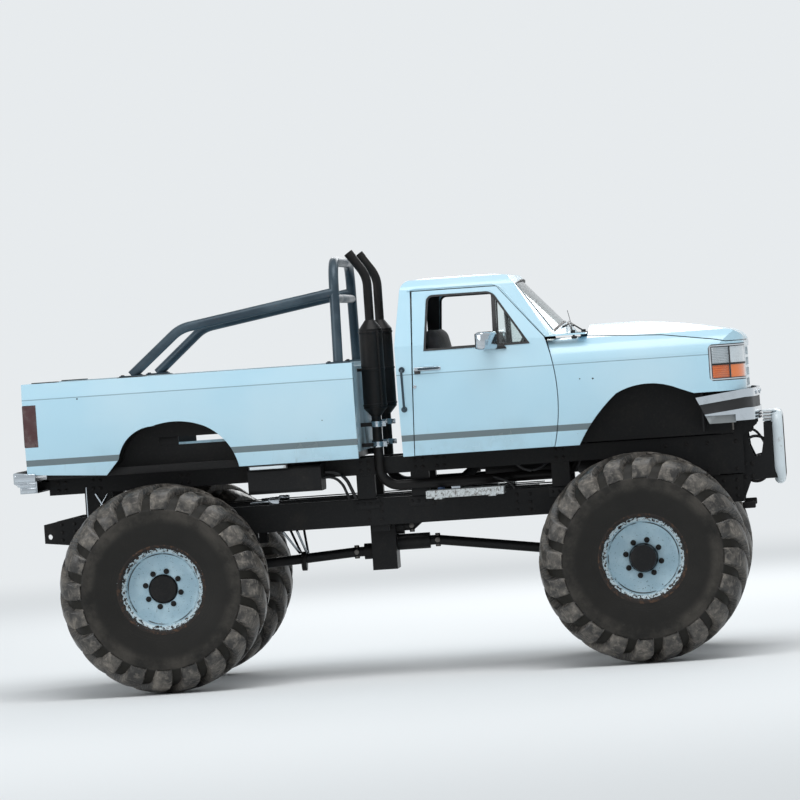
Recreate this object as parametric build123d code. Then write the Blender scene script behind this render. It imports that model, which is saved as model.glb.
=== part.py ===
import math
import os

from build123d import *

# Pickup-bodied monster truck, in millimetres. +X is forward, +Y is the truck's left, +Z is up.
# The ground is Z = 0, and X = 0 lies halfway along the overall length.

# Fits and clearances
snug = 0.3                      # between pieces that are bolted or glued together
running_fit = 0.05              # radial, at spindles and pins
panel_gap = 6                   # round doors, hood and tailgate

# Wheels
wheelbase = 3670
track = 2000
tyre_radius = 800
tyre_width = 590
tyre_wall = 34
lug_count = 20                  # on each side, staggered by half a pitch
lug_height = 48
lug_nose = (176, 783)           # a lug's front corner, ahead of its middle and over the axle
lug_nose_turn = 450 / lug_count # in degrees, so that the tyre stands on the corners of two lugs
lug_tip_radius = 609            # where a lug ends on the sidewall
rim_radius = 330                # bead seat
rim_width = 510
rim_flange = 17                 # height of the flange over the bead seat
rim_wall = 12
disc_inset = 135                # from the rim's outer edge to the disc's outer face
hub_bore = 110.5                # centre hole of the disc
hub_cap_front = 95              # how far the hub stands out of the disc
hub_cap_rear = 16
hub_barrel = 80
spindle_radius = 45
drum_radius = 200
drum_depth = 120

# Axles and steering
axle_tube = 75
differential_radius = 195
differential_width = 260
pinion_drop_front = 20          # height of the front pinion over the axle's centre line
pinion_drop_rear = 80
kingpin_track = 1400
kingpin_radius = 22
yoke_reach = 45                 # radius of the yoke's arms round the kingpin
yoke_gap = 112                  # half the height between the yoke's arms
yoke_arm = 43
knuckle_flange = 90
steering_arm = 280
tie_rod_radius = 24

# Drive line
pinion_reach = 300              # from an axle's centre line to its pinion's flange
shaft_radius = 38
case_rear = -297
case_front = -105
case_rear_z = 945
case_low_z = 1000
case_top_z = 1125
case_flange_x = 150
engine_rear = 1500
engine_front = 2180
crank_z = 1560
gearbox_rear = 620

# Chassis under the body
rail_outer = 430
rail_width = 80
rail_bottom = 1155
rail_top = 1365
rail_rear = -2808
rail_front = 2617
tail_bottom = 1181
tail_top = 1326
tow_eye_x = -2767
tow_eye_z = 1229
tow_eye_radius = 20.5
crossmember_height = 130
crossmember_length = 120
frame_outer = 470               # body frame over the chassis rails
frame_width = 70
frame_bottom = 1550
frame_top = 1680
frame_rear = -2740
frame_front = 2440
spring_half_span = 640
spring_width = 70
spring_leaf = 13
spring_leaves = 6
spring_rise = 130

# Body
body_half_width = 1003
sill_z = 1680
sill_tuck = 45                  # how far the sill lies inside the widest line
belt_tuck = 35
drip_tuck = 203
crease_z = 2310
belt_z = 2520
drip_z = 2950
roof_z = 3036
wall = 55                       # doors and cab walls
sheet = 28                      # fenders and hood with their flanges
glass = 6
cab_rear = 40
cab_front = 1505
hood_rear = 1511
nose_x = 2720
hood_crown_z = 2592
cowl_half = 790
door_rear = 144
door_front = 1259
bed_rear = -2837
bed_front = -290
bed_rail_z = 2425
bed_bottom = 1690
bed_floor_z = 1785
bed_side = 191                  # from the bed's widest line to its inner wall
wheelhouse_depth = 175
wheelhouse_wall = 25
wheelhouse_slot = (-1840, -1310)     # long slot through each wheelhouse's inner wall
wheelhouse_slot_low = 1885
wheelhouse_slot_high = 1945
tail_lamp_length = 103
tail_lamp_bottom = 1939
tail_lamp_top = 2262
tailgate_thickness = 50
tailgate_bottom = 1796
tailgate_hinge_z = 1818
tailgate_axis_x = -2815
lamp_bottom = 2098
lamp_top = 2376
lamp_inner = 590
lamp_rear = 2424
lamp_corner = 34                # radius of its rear corners
lamp_post = 2582                # bar between a lamp's two panes
mirror_x = 755
grille_rows = 4
grille_columns = 8
grille_bar = 21
grille_upright = 12
bumper_tuck = 8
bumper_front = 2788
bumper_corner = 2600            # the valance ends here
bumper_bottom = 1836
bumper_top = 2024
front_end = 2946                # foremost point of the push bar
push_tube = 44
guard_half = 374

# Roll bar and exhaust
roll_tube = 38
hoop_x = -400
hoop_top = 3243 - roll_tube
hoop_half = 800
rail_mid_half = 905             # middle of the bed's side rails
stack_x = -167
stack_half = 520
stack_pipe = 38
muffler_radius = 90

front_axle_x = wheelbase / 2
rear_axle_x = -wheelbase / 2
axle_z = tyre_radius
wheel_y = track / 2
rail_inner = rail_outer - rail_width
sill_half_width = body_half_width - sill_tuck
belt_half_width = body_half_width - belt_tuck
drip_half_width = body_half_width - drip_tuck
bed_inner_half = body_half_width - bed_side
wheelhouse_half = bed_inner_half - wheelhouse_depth
tailgate_half = bed_inner_half - 2 * panel_gap
bumper_half = body_half_width - bumper_tuck
frame_inner = frame_outer - frame_width
disc_y = rim_width / 2 - disc_inset     # outer face of the disc from the wheel's middle


def profile(*steps):
    """Face inside a closed outline: a step is a corner, or an arc's middle point and its end."""
    edges = []
    here = steps[0]
    for step in steps[1:] + (steps[0],):
        if isinstance(step[0], tuple):
            edges.append(ThreePointArc(here, step[0], step[1]))
            here = step[1]
        elif math.dist(step, here) > 0.001:
            edges.append(Line(here, step))
            here = step
    return make_face(edges)


def block(x0, x1, y0, y1, z0, z1):
    return Pos((x0 + x1) / 2, (y0 + y1) / 2, (z0 + z1) / 2) * Box(x1 - x0, y1 - y0, z1 - z0)


def from_side(face, y0, y1):
    """A side view's face (x, z) as a solid from y0 to y1."""
    return extrude(Plane.XZ.offset(-y1) * face, amount=y1 - y0)


def from_front(face, x0, x1):
    """A front view's face (y, z) as a solid from x0 to x1."""
    return extrude(Plane.YZ.offset(x0) * face, amount=x1 - x0)


def from_above(face, z0, z1):
    return extrude(Plane.XY.offset(z0) * face, amount=z1 - z0)


def rod(start, end, radius):
    axis = Vector(*end) - Vector(*start)
    return extrude(Plane(origin=start, z_dir=axis) * Circle(radius), amount=axis.length)


def lathe(face):
    """A face of (radius, y) turned about the Y axis."""
    return revolve(face, Axis.Y)


def bent_tube(points, radii, radius):
    path = FilletPolyline(*points, radius=radii)
    start = Plane(origin=path @ 0, z_dir=path % 0)
    return sweep(start * Circle(radius), path=path)


def left_of(shape):
    return mirror(shape, Plane.XZ)


def save(name, *shapes):
    """Write the solids of one node to its own file."""
    solids = []
    for shape in shapes:
        solids.extend(shape.solids())
    part = solids[0] if len(solids) == 1 else Compound(children=solids)
    part.label = name
    export_step(part, f"parts/{name}.step")


# Wheels

def mirrored_ring(points):
    return [(radius, -y) for radius, y in reversed(points)]


def carcass():
    """Tyre without its lugs: hollow, with its beads on the rim's seats."""
    bead = rim_radius + snug
    bead_y = rim_width / 2 - rim_wall - snug
    wide = tyre_width / 2
    crown = tyre_radius - lug_height
    outside = [
        (bead, bead_y), (bead + 40, bead_y), (bead + 40, 262), (480, 284), (lug_tip_radius - 3, wide - 2),
        (674, 276), (crown - 20, 220), (crown, 110),
    ]
    inside = [
        (crown - tyre_wall, 190), (600, wide - tyre_wall), (bead + 45, bead_y - tyre_wall), (bead, bead_y - tyre_wall)]
    wall_line = outside + mirrored_ring(outside) + list(reversed(mirrored_ring(inside))) + inside
    return lathe(profile(*wall_line))


def lug():
    """Left lug: a bar that leans forward over the crown and turns down the shoulder, with flat faces."""
    plan = profile(
        (lug_nose[0], -18), (108, -18), (-58, 150), (-180, 262), (-154, 298), (-46, 298), (-20, 262), (50, 150))
    front = profile(
        (-18, 722), (-18, lug_nose[1]), (150, 785), (262, 712), (tyre_width / 2, lug_tip_radius - 5), (284, 600),
        (262, 640), (220, 690), (190, 722))
    turn = lug_nose_turn - math.degrees(math.atan2(*lug_nose))
    return Rot(0, turn, 0) * (from_above(plan, 580, tyre_radius) & from_front(front, -200, 200))


def tyre():
    left = lug()
    right = Rot(0, 180 / lug_count, 0) * mirror(left, Plane.XZ)
    lugs = [Rot(0, count * 360 / lug_count, 0) * side for count in range(lug_count) for side in (left, right)]
    return carcass().fuse(*lugs)


def rim(outward):
    half = rim_width / 2
    inner = rim_radius - rim_wall
    flange = rim_radius + rim_flange
    barrel = lathe(profile(
        (inner, -half), (flange, -half), (flange, -half + rim_wall), (rim_radius, -half + rim_wall),
        (rim_radius, half - rim_wall), (flange, half - rim_wall), (flange, half), (inner, half)))
    dish = lathe(profile(
        (hub_bore, disc_y - rim_wall), (hub_bore, disc_y), (262, disc_y), ((275, disc_y + 14), (278, disc_y + 42)),
        (290, disc_y + 60), (inner, disc_y + 84), (inner, disc_y + 60), (296, disc_y + 42), (286, disc_y + 20),
        ((282, disc_y - 4), (268, disc_y - rim_wall))))
    wheel = barrel + dish
    return wheel if outward > 0 else mirror(wheel, Plane.XZ)


def hub(outward, cap):
    face = disc_y - rim_wall
    pilot = hub_bore - 0.5
    drum_face = face - 20
    wheel_hub = lathe(profile(
        (spindle_radius + running_fit, face - 300), (hub_barrel, face - 300), (hub_barrel, drum_face),
        (drum_radius - 14, drum_face), (drum_radius - 14, drum_face - drum_depth),
        (drum_radius, drum_face - drum_depth), (drum_radius, face), (pilot, face),
        (pilot, disc_y + 4), (pilot - 12, disc_y + cap), (0, disc_y + cap), (0, face - 5),
        (spindle_radius + running_fit, face - 5)))
    return wheel_hub if outward > 0 else mirror(wheel_hub, Plane.XZ)


def wheels():
    # corner: x, side, how far the hub's cap stands out
    corners = {
        "front_right": (front_axle_x, -1, hub_cap_front),
        "front_left": (front_axle_x, 1, hub_cap_front),
        "rear_right": (rear_axle_x, -1, hub_cap_rear),
        "rear_left": (rear_axle_x, 1, hub_cap_rear),
    }
    lugged = tyre()
    for corner, (x, side, cap) in corners.items():
        place = Pos(x, side * wheel_y, axle_z)
        save(f"tyre_{corner}", place * lugged)
        save(f"rim_{corner}", place * rim(side))
        save(f"hub_{corner}", place * hub(side, cap))


# Axles and steering

def differential(x, pinion_side, pinion_rise):
    """Top-loaded housing with its round cover, and the nose that the pinion comes out of."""
    bowl = Pos(x, 0, axle_z) * Rot(90, 0, 0) * Cylinder(differential_radius, differential_width)
    bowl = bowl & (Pos(x, 0, axle_z) * Sphere(differential_radius + 20))
    carrier = block(x - 130, x + 130, -110, 110, axle_z - 30, axle_z + 235)
    nose = rod((x, 0, axle_z + pinion_rise), (x + pinion_side * pinion_reach, 0, axle_z + pinion_rise), 74)
    return bowl + carrier + nose


def spindle(side, start_y, flange_y):
    """Flange and spindle that a hub runs on, along Y from start_y outwards."""
    end_y = wheel_y + disc_y - rim_wall - 15
    return lathe(profile(
        (0, side * start_y), (60, side * start_y), (60, side * flange_y), (knuckle_flange, side * flange_y),
        (knuckle_flange, side * (flange_y + 20)), (spindle_radius, side * (flange_y + 20)),
        (spindle_radius, side * end_y), (0, side * end_y)))


def front_axle():
    kingpin_y = kingpin_track / 2
    web_y = kingpin_y - 50
    tube = Pos(front_axle_x, 0, axle_z) * Rot(90, 0, 0) * Cylinder(axle_tube, 2 * web_y)
    housing = tube + differential(front_axle_x, -1, pinion_drop_front)
    outer = yoke_gap + yoke_arm
    for side in (-1, 1):
        web = block(front_axle_x - 60, front_axle_x + 60, min(side * (web_y - 45), side * web_y),
                    max(side * (web_y - 45), side * web_y), axle_z - outer, axle_z + outer)
        housing += web
        for z in (axle_z - outer, axle_z + yoke_gap):
            arm = block(front_axle_x - yoke_reach, front_axle_x + yoke_reach,
                        min(side * web_y, side * kingpin_y), max(side * web_y, side * kingpin_y),
                        z, z + yoke_arm)
            eye = Pos(front_axle_x, side * kingpin_y, z + yoke_arm / 2) * Cylinder(yoke_reach, yoke_arm)
            housing += arm + eye
        bore = Pos(front_axle_x, side * kingpin_y, axle_z) * Cylinder(kingpin_radius + running_fit, 400)
        housing -= bore
    return housing


def rear_axle():
    web_y = kingpin_track / 2 + 35
    tube = Pos(rear_axle_x, 0, axle_z) * Rot(90, 0, 0) * Cylinder(axle_tube, 2 * web_y)
    housing = tube + differential(rear_axle_x, 1, pinion_drop_rear)
    for side in (-1, 1):
        housing += Pos(rear_axle_x, 0, axle_z) * spindle(side, web_y - 5, kingpin_track / 2 + 60)
    return housing


def knuckle(side):
    kingpin_y = kingpin_track / 2
    centre = Pos(front_axle_x, side * kingpin_y, axle_z)
    body = centre * Cylinder(42, 2 * (yoke_gap - 0.5))
    body += centre * Cylinder(kingpin_radius, 2 * (yoke_gap + yoke_arm))
    body += Pos(front_axle_x, 0, axle_z) * spindle(side, kingpin_y, kingpin_y + 60)
    arm_z = axle_z - 60
    body += block(front_axle_x, front_axle_x + steering_arm, side * kingpin_y - 20,
                  side * kingpin_y + 20, arm_z, arm_z + 28)
    body += Pos(front_axle_x + steering_arm, side * kingpin_y, arm_z + 14) * Cylinder(28, 28)
    ball = Pos(front_axle_x + steering_arm, side * kingpin_y, arm_z - 30) * Cylinder(10, 60)
    return body + ball


def tie_rod():
    x = front_axle_x + steering_arm
    z = axle_z - 60 - 32
    half = kingpin_track / 2
    bar = rod((x, -half, z), (x, half, z), tie_rod_radius)
    for side in (-1, 1):
        bar += Pos(x, side * half, z) * Cylinder(30, 50)
        bar -= Pos(x, side * half, z) * Cylinder(10 + running_fit, 80)
    return bar


def steering():
    save("front_axle", front_axle())
    save("rear_axle", rear_axle())
    save("knuckle_right", knuckle(-1))
    save("knuckle_left", knuckle(1))
    save("tie_rod", tie_rod())


# Chassis

def chassis_rail():
    outline = profile(
        (rail_rear, tail_bottom), (-2600, rail_bottom), (rail_front, rail_bottom),
        (rail_front, rail_top), (-2600, rail_top), (rail_rear, tail_top))
    rail = from_side(outline, -rail_outer, -rail_inner)
    eye = Pos(tow_eye_x, -rail_outer, tow_eye_z) * Rot(90, 0, 0) * Cylinder(tow_eye_radius, 3 * rail_width)
    return rail - eye


def chassis():
    rail = chassis_rail()
    save("chassis_rails", rail, left_of(rail))
    middle = (rail_bottom + rail_top) / 2
    half = rail_inner - snug
    members = []
    for x in (-2640, -1400, -250, 900, 2540):
        members.append(block(x - crossmember_length / 2, x + crossmember_length / 2, -half, half,
                             middle - crossmember_height / 2, middle + crossmember_height / 2))
    return members


def body_frame():
    rail = block(frame_rear, frame_front, -frame_outer, -frame_inner, frame_bottom, frame_top)
    save("body_frame_rails", rail, left_of(rail))
    half = frame_inner - snug
    members = []
    for x in (-2640, -1685, -700, 300, 2380):
        members.append(block(x - 50, x + 50, -half, half, frame_bottom + 20, frame_top - 20))
    posts = []
    # posts between the chassis and the body frame: rear end, front end
    for x0, x1 in ((-2468, -2265), (-356, -216), (64, 204), (1150, 1290), (2300, 2440)):
        post = block(x0, x1, -frame_outer, -rail_inner, rail_top + snug, frame_bottom - snug)
        posts += [post, left_of(post)]
    return members + posts


def leaf_spring(x):
    """Stepped pack of leaves between two hangers, on the axle's top."""
    seat = axle_z + axle_tube + 12
    eye_z = seat + spring_rise
    y0 = -rail_outer + 5
    pack = None
    for leaf in range(spring_leaves):
        share = 1 - leaf / (spring_leaves + 1)
        half = spring_half_span * share
        low = seat + (spring_leaves - 1 - leaf) * spring_leaf
        rise = spring_rise * share * share
        piece = from_side(profile(
            (x - half, low + rise), ((x, low), (x + half, low + rise)), (x + half, low + rise + spring_leaf),
            ((x, low + spring_leaf), (x - half, low + rise + spring_leaf))), y0, y0 + spring_width)
        pack = piece if pack is None else pack + piece
    return pack


def suspension():
    springs = []
    hangers = []
    for x in (front_axle_x, rear_axle_x):
        spring = leaf_spring(x)
        top = axle_z + axle_tube + 12 + spring_rise + spring_leaves * spring_leaf
        y0 = -rail_outer + 5
        for end in (-1, 1):
            end_x = x + end * spring_half_span
            spring += rod((end_x, y0, top - 12), (end_x, y0 + spring_width, top - 12), 30)
            hanger = block(end_x - 45, end_x + 45, y0 - 5, y0 + spring_width + 5, top - 45, rail_bottom - snug)
            hanger -= block(end_x - 60, end_x + 60, y0 - snug, y0 + spring_width + snug,
                            top - 60, top + 25)
            hangers += [hanger, left_of(hanger)]
        springs += [spring, left_of(spring)]
    save("leaf_springs", *springs)
    dampers = []
    for x in (front_axle_x, rear_axle_x):
        for end in (-1, 1):
            top = (x + end * 150, -540, rail_top - 60)
            foot = (x + end * 95, -540, axle_z + 40)
            damper = rod(top, foot, 26)
            damper += rod(top, tuple(a + (b - a) * 0.55 for a, b in zip(top, foot)), 38)
            damper += rod((top[0], -540, top[2]), (top[0], -rail_outer - snug, top[2]), 20)
            dampers += [damper, left_of(damper)]
    save("shock_absorbers", *dampers)
    return hangers


# Drive line

def drive_shaft(rear_end, front_end):
    """Tube between two joints; each joint's yoke lies along X and seats on its flange."""
    (x0, z0), (x1, z1) = rear_end, front_end
    joint = 60
    shaft = rod((x0 + snug, 0, z0), (x0 + joint, 0, z0), shaft_radius)
    shaft += rod((x1 - joint, 0, z1), (x1 - snug, 0, z1), shaft_radius)
    shaft += Pos(x0 + joint, 0, z0) * Sphere(shaft_radius) + Pos(x1 - joint, 0, z1) * Sphere(shaft_radius)
    return shaft + rod((x0 + joint, 0, z0), (x1 - joint, 0, z1), shaft_radius)


def drive_line():
    case = block(case_rear, case_front, -170, 170, 800, 1150)
    case += rod((case_front, 0, case_low_z), (case_flange_x, 0, case_low_z), 62)
    case += rod((case_rear, 0, case_rear_z), (case_rear - 70, 0, case_rear_z), 62)
    case += rod((case_front, 0, case_top_z), (case_front + 60, 0, case_top_z), 62)
    case += block(case_rear + 30, case_front - 30, -rail_inner - 40, rail_inner + 40,
                  rail_bottom - 50, rail_bottom - snug)
    front = drive_shaft((case_flange_x, case_low_z), (front_axle_x - pinion_reach, axle_z + pinion_drop_front))
    rear = drive_shaft((rear_axle_x + pinion_reach, axle_z + pinion_drop_rear), (case_rear - 70, case_rear_z))
    upper = drive_shaft((case_front + 60, case_top_z), (gearbox_rear, crank_z))
    save("drive_line", case, front, rear, upper)


def engine():
    motor = from_front(profile(
        (-170, 1430), (170, 1430), (200, 1640), (330, 1900), (250, 2080), (120, 2130),
        (-120, 2130), (-250, 2080), (-330, 1900), (-200, 1640)), engine_rear, engine_front)
    mount_y = frame_inner - snug
    motor += block(1800, 1920, -mount_y, mount_y, 1570, 1640)
    bell = loft([Plane.YZ.offset(engine_rear) * Pos(0, crank_z) * Circle(210),
                 Plane.YZ.offset(engine_rear - 160) * Pos(0, crank_z) * Circle(110)])
    gearbox = rod((engine_rear - 150, 0, crank_z), (gearbox_rear, 0, crank_z), 105)
    return motor + bell + gearbox


# Body panels from a side view and a front view

def mirrored(steps):
    """The other half of an outline that starts and ends on the middle line."""
    back = []
    points = list(steps)
    ends = [step[1] if isinstance(step[0], tuple) else step for step in points]
    for index in range(len(points) - 1, 0, -1):
        end = (-ends[index - 1][0], ends[index - 1][1])
        step = points[index]
        if isinstance(step[0], tuple):
            back.append(((-step[0][0], step[0][1]), end))
        else:
            back.append(end)
    return back


def cab_section(inset):
    """Front view of the cab, inset by a wall."""
    slope = inset * 1.08
    half = [
        (0, sill_z + inset), (sill_half_width - inset, sill_z + inset),
        ((body_half_width - 8 - inset, 2000), (body_half_width - inset, crease_z)),
        (belt_half_width - inset, belt_z), (drip_half_width - slope, drip_z),
        ((drip_half_width - 70 - slope, roof_z - 26 - inset * 0.8), (drip_half_width - 190, roof_z - 12 - inset)),
        ((300, roof_z - 2 - inset), (0, roof_z - inset)),
    ]
    return profile(*half, *mirrored(half))


def cab_side(inset):
    return profile(
        (cab_rear + 13 + inset, sill_z + inset), (cab_rear + inset, belt_z), (95 + inset, 2940),
        ((118 + inset, 2992 - inset), (200 + inset / 2, 3020 - inset)),
        ((600, roof_z + 1 - inset), (985, 3008 - inset)), (1060, 3000 - inset),
        (cab_front - inset, 2570 - inset), (cab_front - inset, 2430), (1330 - inset, 2400), (1330 - inset, sill_z + inset))


def windshield_space(back):
    """Room in front of the windshield, which bows forward more at its foot than at its head."""
    # height: x at the middle, x at the ends, half width
    stations = ((2480, 1462, 1262, 985), (3060, 930, 892, 740))
    faces = []
    for z, middle, end, half in stations:
        faces.append(Plane.XY.offset(z) * profile(
            (end - back, -half), ((middle - back, 0), (end - back, half)), (end + 400, half + 400),
            (end + 900, half + 400), (end + 900, -half - 400), (end + 400, -half - 400)))
    return loft(faces, ruled=True)


def cab_block(inset):
    side = from_side(cab_side(inset), -1100, 1100)
    front = from_front(cab_section(inset), -100, 1700)
    return side & front


def greenhouse(inset):
    shape = cab_block(inset)
    return shape - (windshield_space(inset * 1.3) & block(0, 3000, -1500, 1500, belt_z + 14, 4000))


def front_section(inset):
    half = [
        (0, sill_z - 200), (sill_half_width - inset, sill_z - 200), (sill_half_width - inset, sill_z),
        ((body_half_width - 8 - inset, 2000), (body_half_width - inset, crease_z + 15)),
        ((965 - inset * 0.9, 2420 - inset * 0.5), (800 - inset * 0.3, 2500 - inset)),
        ((400, 2568 - inset), (0, hood_crown_z - inset)),
    ]
    return profile(*half, *mirrored(half))


def front_side(inset):
    return profile(
        (1100, 1480), (1100, 2600), (1500, 2600 - inset), ((2088, 2571 - inset), (2560, 2490 - inset)),
        ((2668 - inset * 0.5, 2450 - inset), (nose_x - inset, 2392 - inset * 0.4)), (nose_x - inset, 1480))


def front_plan(inset):
    return profile(
        (1000, -1100), (1000, 1100), (2300, 1100), (2330 - inset, body_half_width - inset),
        ((2600 - inset, 930 - inset), (2690 - inset, 650 - inset * 0.3)), ((nose_x - inset, 0), (2690 - inset, -650 + inset * 0.3)),
        ((2600 - inset, -930 + inset), (2330 - inset, inset - body_half_width)), (2300, -1100))


def front_body(inset):
    shape = from_side(front_side(inset), -1100, 1100) & from_front(front_section(inset), 1000, 2800)
    return shape & from_above(front_plan(inset), 1400, 2700)


def door_outline(grow):
    """Door as seen from the side; grow opens it up for the cab's opening."""
    return profile(
        (door_rear - grow, sill_z + 3 - grow), (180 - grow * 1.6, belt_z), (190 - grow * 2.2, 2932 + grow),
        (838, 2932 + grow), (1186 + grow, belt_z + grow * 0.5),
        ((door_front + grow, 2106), (1210 + grow, sill_z + 3 - grow)))


def window_outline(grow):
    return profile(
        (262 - grow, 2474 - grow), (300 - grow, 2898 + grow), (803 + grow * 0.6, 2898 + grow),
        (1076 + grow * 1.4, 2480 - grow))


def fender_zone(grow):
    """Side of the body ahead of the doors, as seen from the side."""
    return profile(
        (1210 + grow, 1400), (1210 + grow, sill_z), ((door_front + grow, 2106), (1188 + grow, belt_z)),
        (1188 + grow, belt_z + 1), (3000, belt_z + 1), (3000, 1400))


def cab():
    outer = greenhouse(0)
    inner = greenhouse(wall) - block(1330 - wall, 1600, -1100, 1100, 1600, 2480)
    shell = outer - inner
    zone = from_side(fender_zone(0), -1100, 1100)
    shell = (shell - zone) + (shell & zone & front_body(sheet + 3) & block(1000, 2000, -cowl_half, cowl_half, 1400, 2700))
    doors = from_side(door_outline(panel_gap), -1100, -600) + from_side(door_outline(panel_gap), 600, 1100)
    shell = shell - doors
    rear_window = from_front(RectangleRounded(1300, 360, 60), -200, 200)
    shell -= Pos(0, 0, 2720) * rear_window
    shell -= windshield_opening(0)
    floor_half = sill_half_width - wall - snug
    floor = block(cab_rear + 60, 1330 - wall, -floor_half, floor_half, sill_z + snug, sill_z + wall)
    posts = []
    for side in (-1, 1):
        near, far = sorted((side * 780, side * floor_half))
        posts.append(block(1200, 1275, near, far, sill_z + snug, 2400))
    seat_base = block(430, 850, -560, 560, sill_z + wall - 5, 1960 - snug)
    return shell + floor + seat_base + posts[0] + posts[1]


def windshield_opening(shrink):
    """Slanted opening between the pillars, square to the glass."""
    foot = Vector(1330, 0, 2620)
    head = Vector(985, 0, 2945)
    up = (head - foot).normalized()
    face = profile((-820 + shrink, 0), (820 - shrink, 0), (690 - shrink, (head - foot).length), (shrink - 690, (head - foot).length))
    plane = Plane(origin=foot, x_dir=(0, 1, 0), z_dir=Vector(0, 1, 0).cross(up))
    return extrude(plane * face, amount=260, both=True)


def cab_glass():
    skin = greenhouse(14) - greenhouse(14 + glass)
    front = skin & windshield_opening(snug)
    front = front & block(600, 1600, -1000, 1000, 2400, 3100)
    rear = skin & (Pos(0, 0, 2720) * from_front(RectangleRounded(1300 - 2 * snug, 360 - 2 * snug, 60), -200, 300))
    return [front, rear]


def door():
    skin = (cab_block(0) - cab_block(wall)) & from_side(door_outline(0), -1100, -600)
    skin -= block(0, 1400, wall - sill_half_width, 0, sill_z - 10, sill_z + wall + 1)
    return skin - from_side(window_outline(0), -1100, -600)


def door_glass():
    """Fixed vent pane ahead of the post; the main pane is wound down into the door."""
    skin = (cab_block(22) - cab_block(22 + glass)) & from_side(window_outline(-snug), -1100, -600)
    vent = profile((820, 2400), (812, 2950), (1300, 2950), (1300, 2400))
    return skin & from_side(vent, -1100, -600)


def door_mirror():
    head = Pos(mirror_x, -1130, 2522) * Box(80, 230, 138)
    head = fillet(head.edges().filter_by(Axis.Y), 26)
    stay = from_above(profile((mirror_x - 40, -900), (mirror_x + 110, -900), (mirror_x + 30, -1060), (mirror_x - 20, -1060)),
                      2450, 2490)
    return (head + stay) - cab_block(-snug)


def doors():
    panel = door()
    pane = door_glass()
    save("door_right", panel)
    save("door_left", left_of(panel))
    save("door_glass_right", pane)
    save("door_glass_left", left_of(pane))
    mirror_arm = door_mirror()
    save("mirror_right", mirror_arm)
    save("mirror_left", left_of(mirror_arm))


def arch(points_grow):
    """Front wheel arch as seen from the side."""
    return profile(
        (1404 - points_grow, 1300), (1404 - points_grow, sill_z + 4),
        ((1552 - points_grow * 0.8, 1902 + points_grow * 0.6), (1705, 2055 + points_grow)),
        ((1955, 2114 + points_grow), (2176, 2064 + points_grow)), (2316 + points_grow, 2010 + points_grow),
        (2316 + points_grow, 1300))


def hood_zone(grow):
    """Region over the seam between the hood and the fenders, as seen from the side."""
    return profile(
        (hood_rear, 2509 + grow), (2082, 2478 + grow), (2470, 2420 + grow), (2560, 2400 + grow),
        (2760, 2400 + grow), (2760, 2700), (hood_rear, 2700))


def front_panels():
    skin = front_body(0) - front_body(sheet)
    zone = from_side(fender_zone(panel_gap), -1100, 1100)
    fender = skin & zone
    fender -= from_side(hood_zone(-panel_gap), -1100, 1100)
    fender -= block(1000, hood_rear, -cowl_half - 3, 0, 2400, 2700)
    fender -= from_side(arch(0), -1100, 1100)
    fender -= lamp_space(0, lamp_bottom, lamp_top, 0)
    fender -= block(2000, 2800, -1100, 1100, 1300, 2018)
    fender = fender & block(1000, 2800, -1100, -lamp_inner, sill_z, 2600)
    save("fenders", fender, left_of(fender))
    hood = skin & from_side(hood_zone(0), -1100, 1100)
    save("hood", hood)


def inner_fender():
    """Wall beside the engine with the liner over the wheel, seated on the cab's front."""
    panel = block(1330 + snug, 2560, -575, -560, 1690, 2330)
    liner = from_side(arch(42), -1100, -560) - from_side(arch(28), -1100, -560)
    liner = liner & block(1330 + snug, 2560, -1100, -560, 1720, 2400)
    return (panel + liner) & front_body(sheet + snug)


def radiator():
    core = block(2480, 2560 + snug, -560 + snug, 560 - snug, 1700, 2330)
    feet = block(2480, 2560, -frame_outer, -frame_inner, frame_top - 60, 1710)
    post = block(2500, 2540, -40, 40, 2330, 2600) & front_body(sheet + snug)
    return core + feet + left_of(feet) + post


def lamp_space(margin, low, high, inner=lamp_inner):
    """Space round the right front corner for a lamp, its rear corners rounded, from low to high."""
    x = lamp_rear + margin
    corner = max(lamp_corner - margin, 6)
    cut = corner * (1 - math.sqrt(0.5))
    return from_side(profile(
        (2800, low), (x + corner, low), ((x + cut, low + cut), (x, low + corner)), (x, high - corner),
        ((x + cut, high - cut), (x + corner, high)), (2800, high)), -1100, -inner)


def front_lamps():
    """Lamps round the corner: a clear lens over an amber one, each in two panes."""
    middle = (lamp_bottom + lamp_top) / 2 - 14
    bezel = (front_body(0) - front_body(70)) & lamp_space(snug, lamp_bottom + 1, lamp_top - 1)
    post = block(lamp_post - 6, lamp_post + 6, -1100, -700, lamp_bottom, lamp_top)
    heights = {"headlamps": (middle + 7, lamp_top - 22), "turn_lamps": (lamp_bottom + 22, middle - 7)}
    panes = front_body(4) - front_body(50 - snug)
    for name, (low, high) in heights.items():
        bezel -= lamp_space(24, low, high, lamp_inner + 22) - post - front_body(50)
        pane = panes & lamp_space(24 + snug, low + snug, high - snug, lamp_inner + 22 + snug)
        pane -= block(lamp_post - 6 - snug, lamp_post + 6 + snug, -1100, -700, lamp_bottom, lamp_top)
        save(name, pane, left_of(pane))
    save("lamp_bezels", bezel, left_of(bezel))


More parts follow.
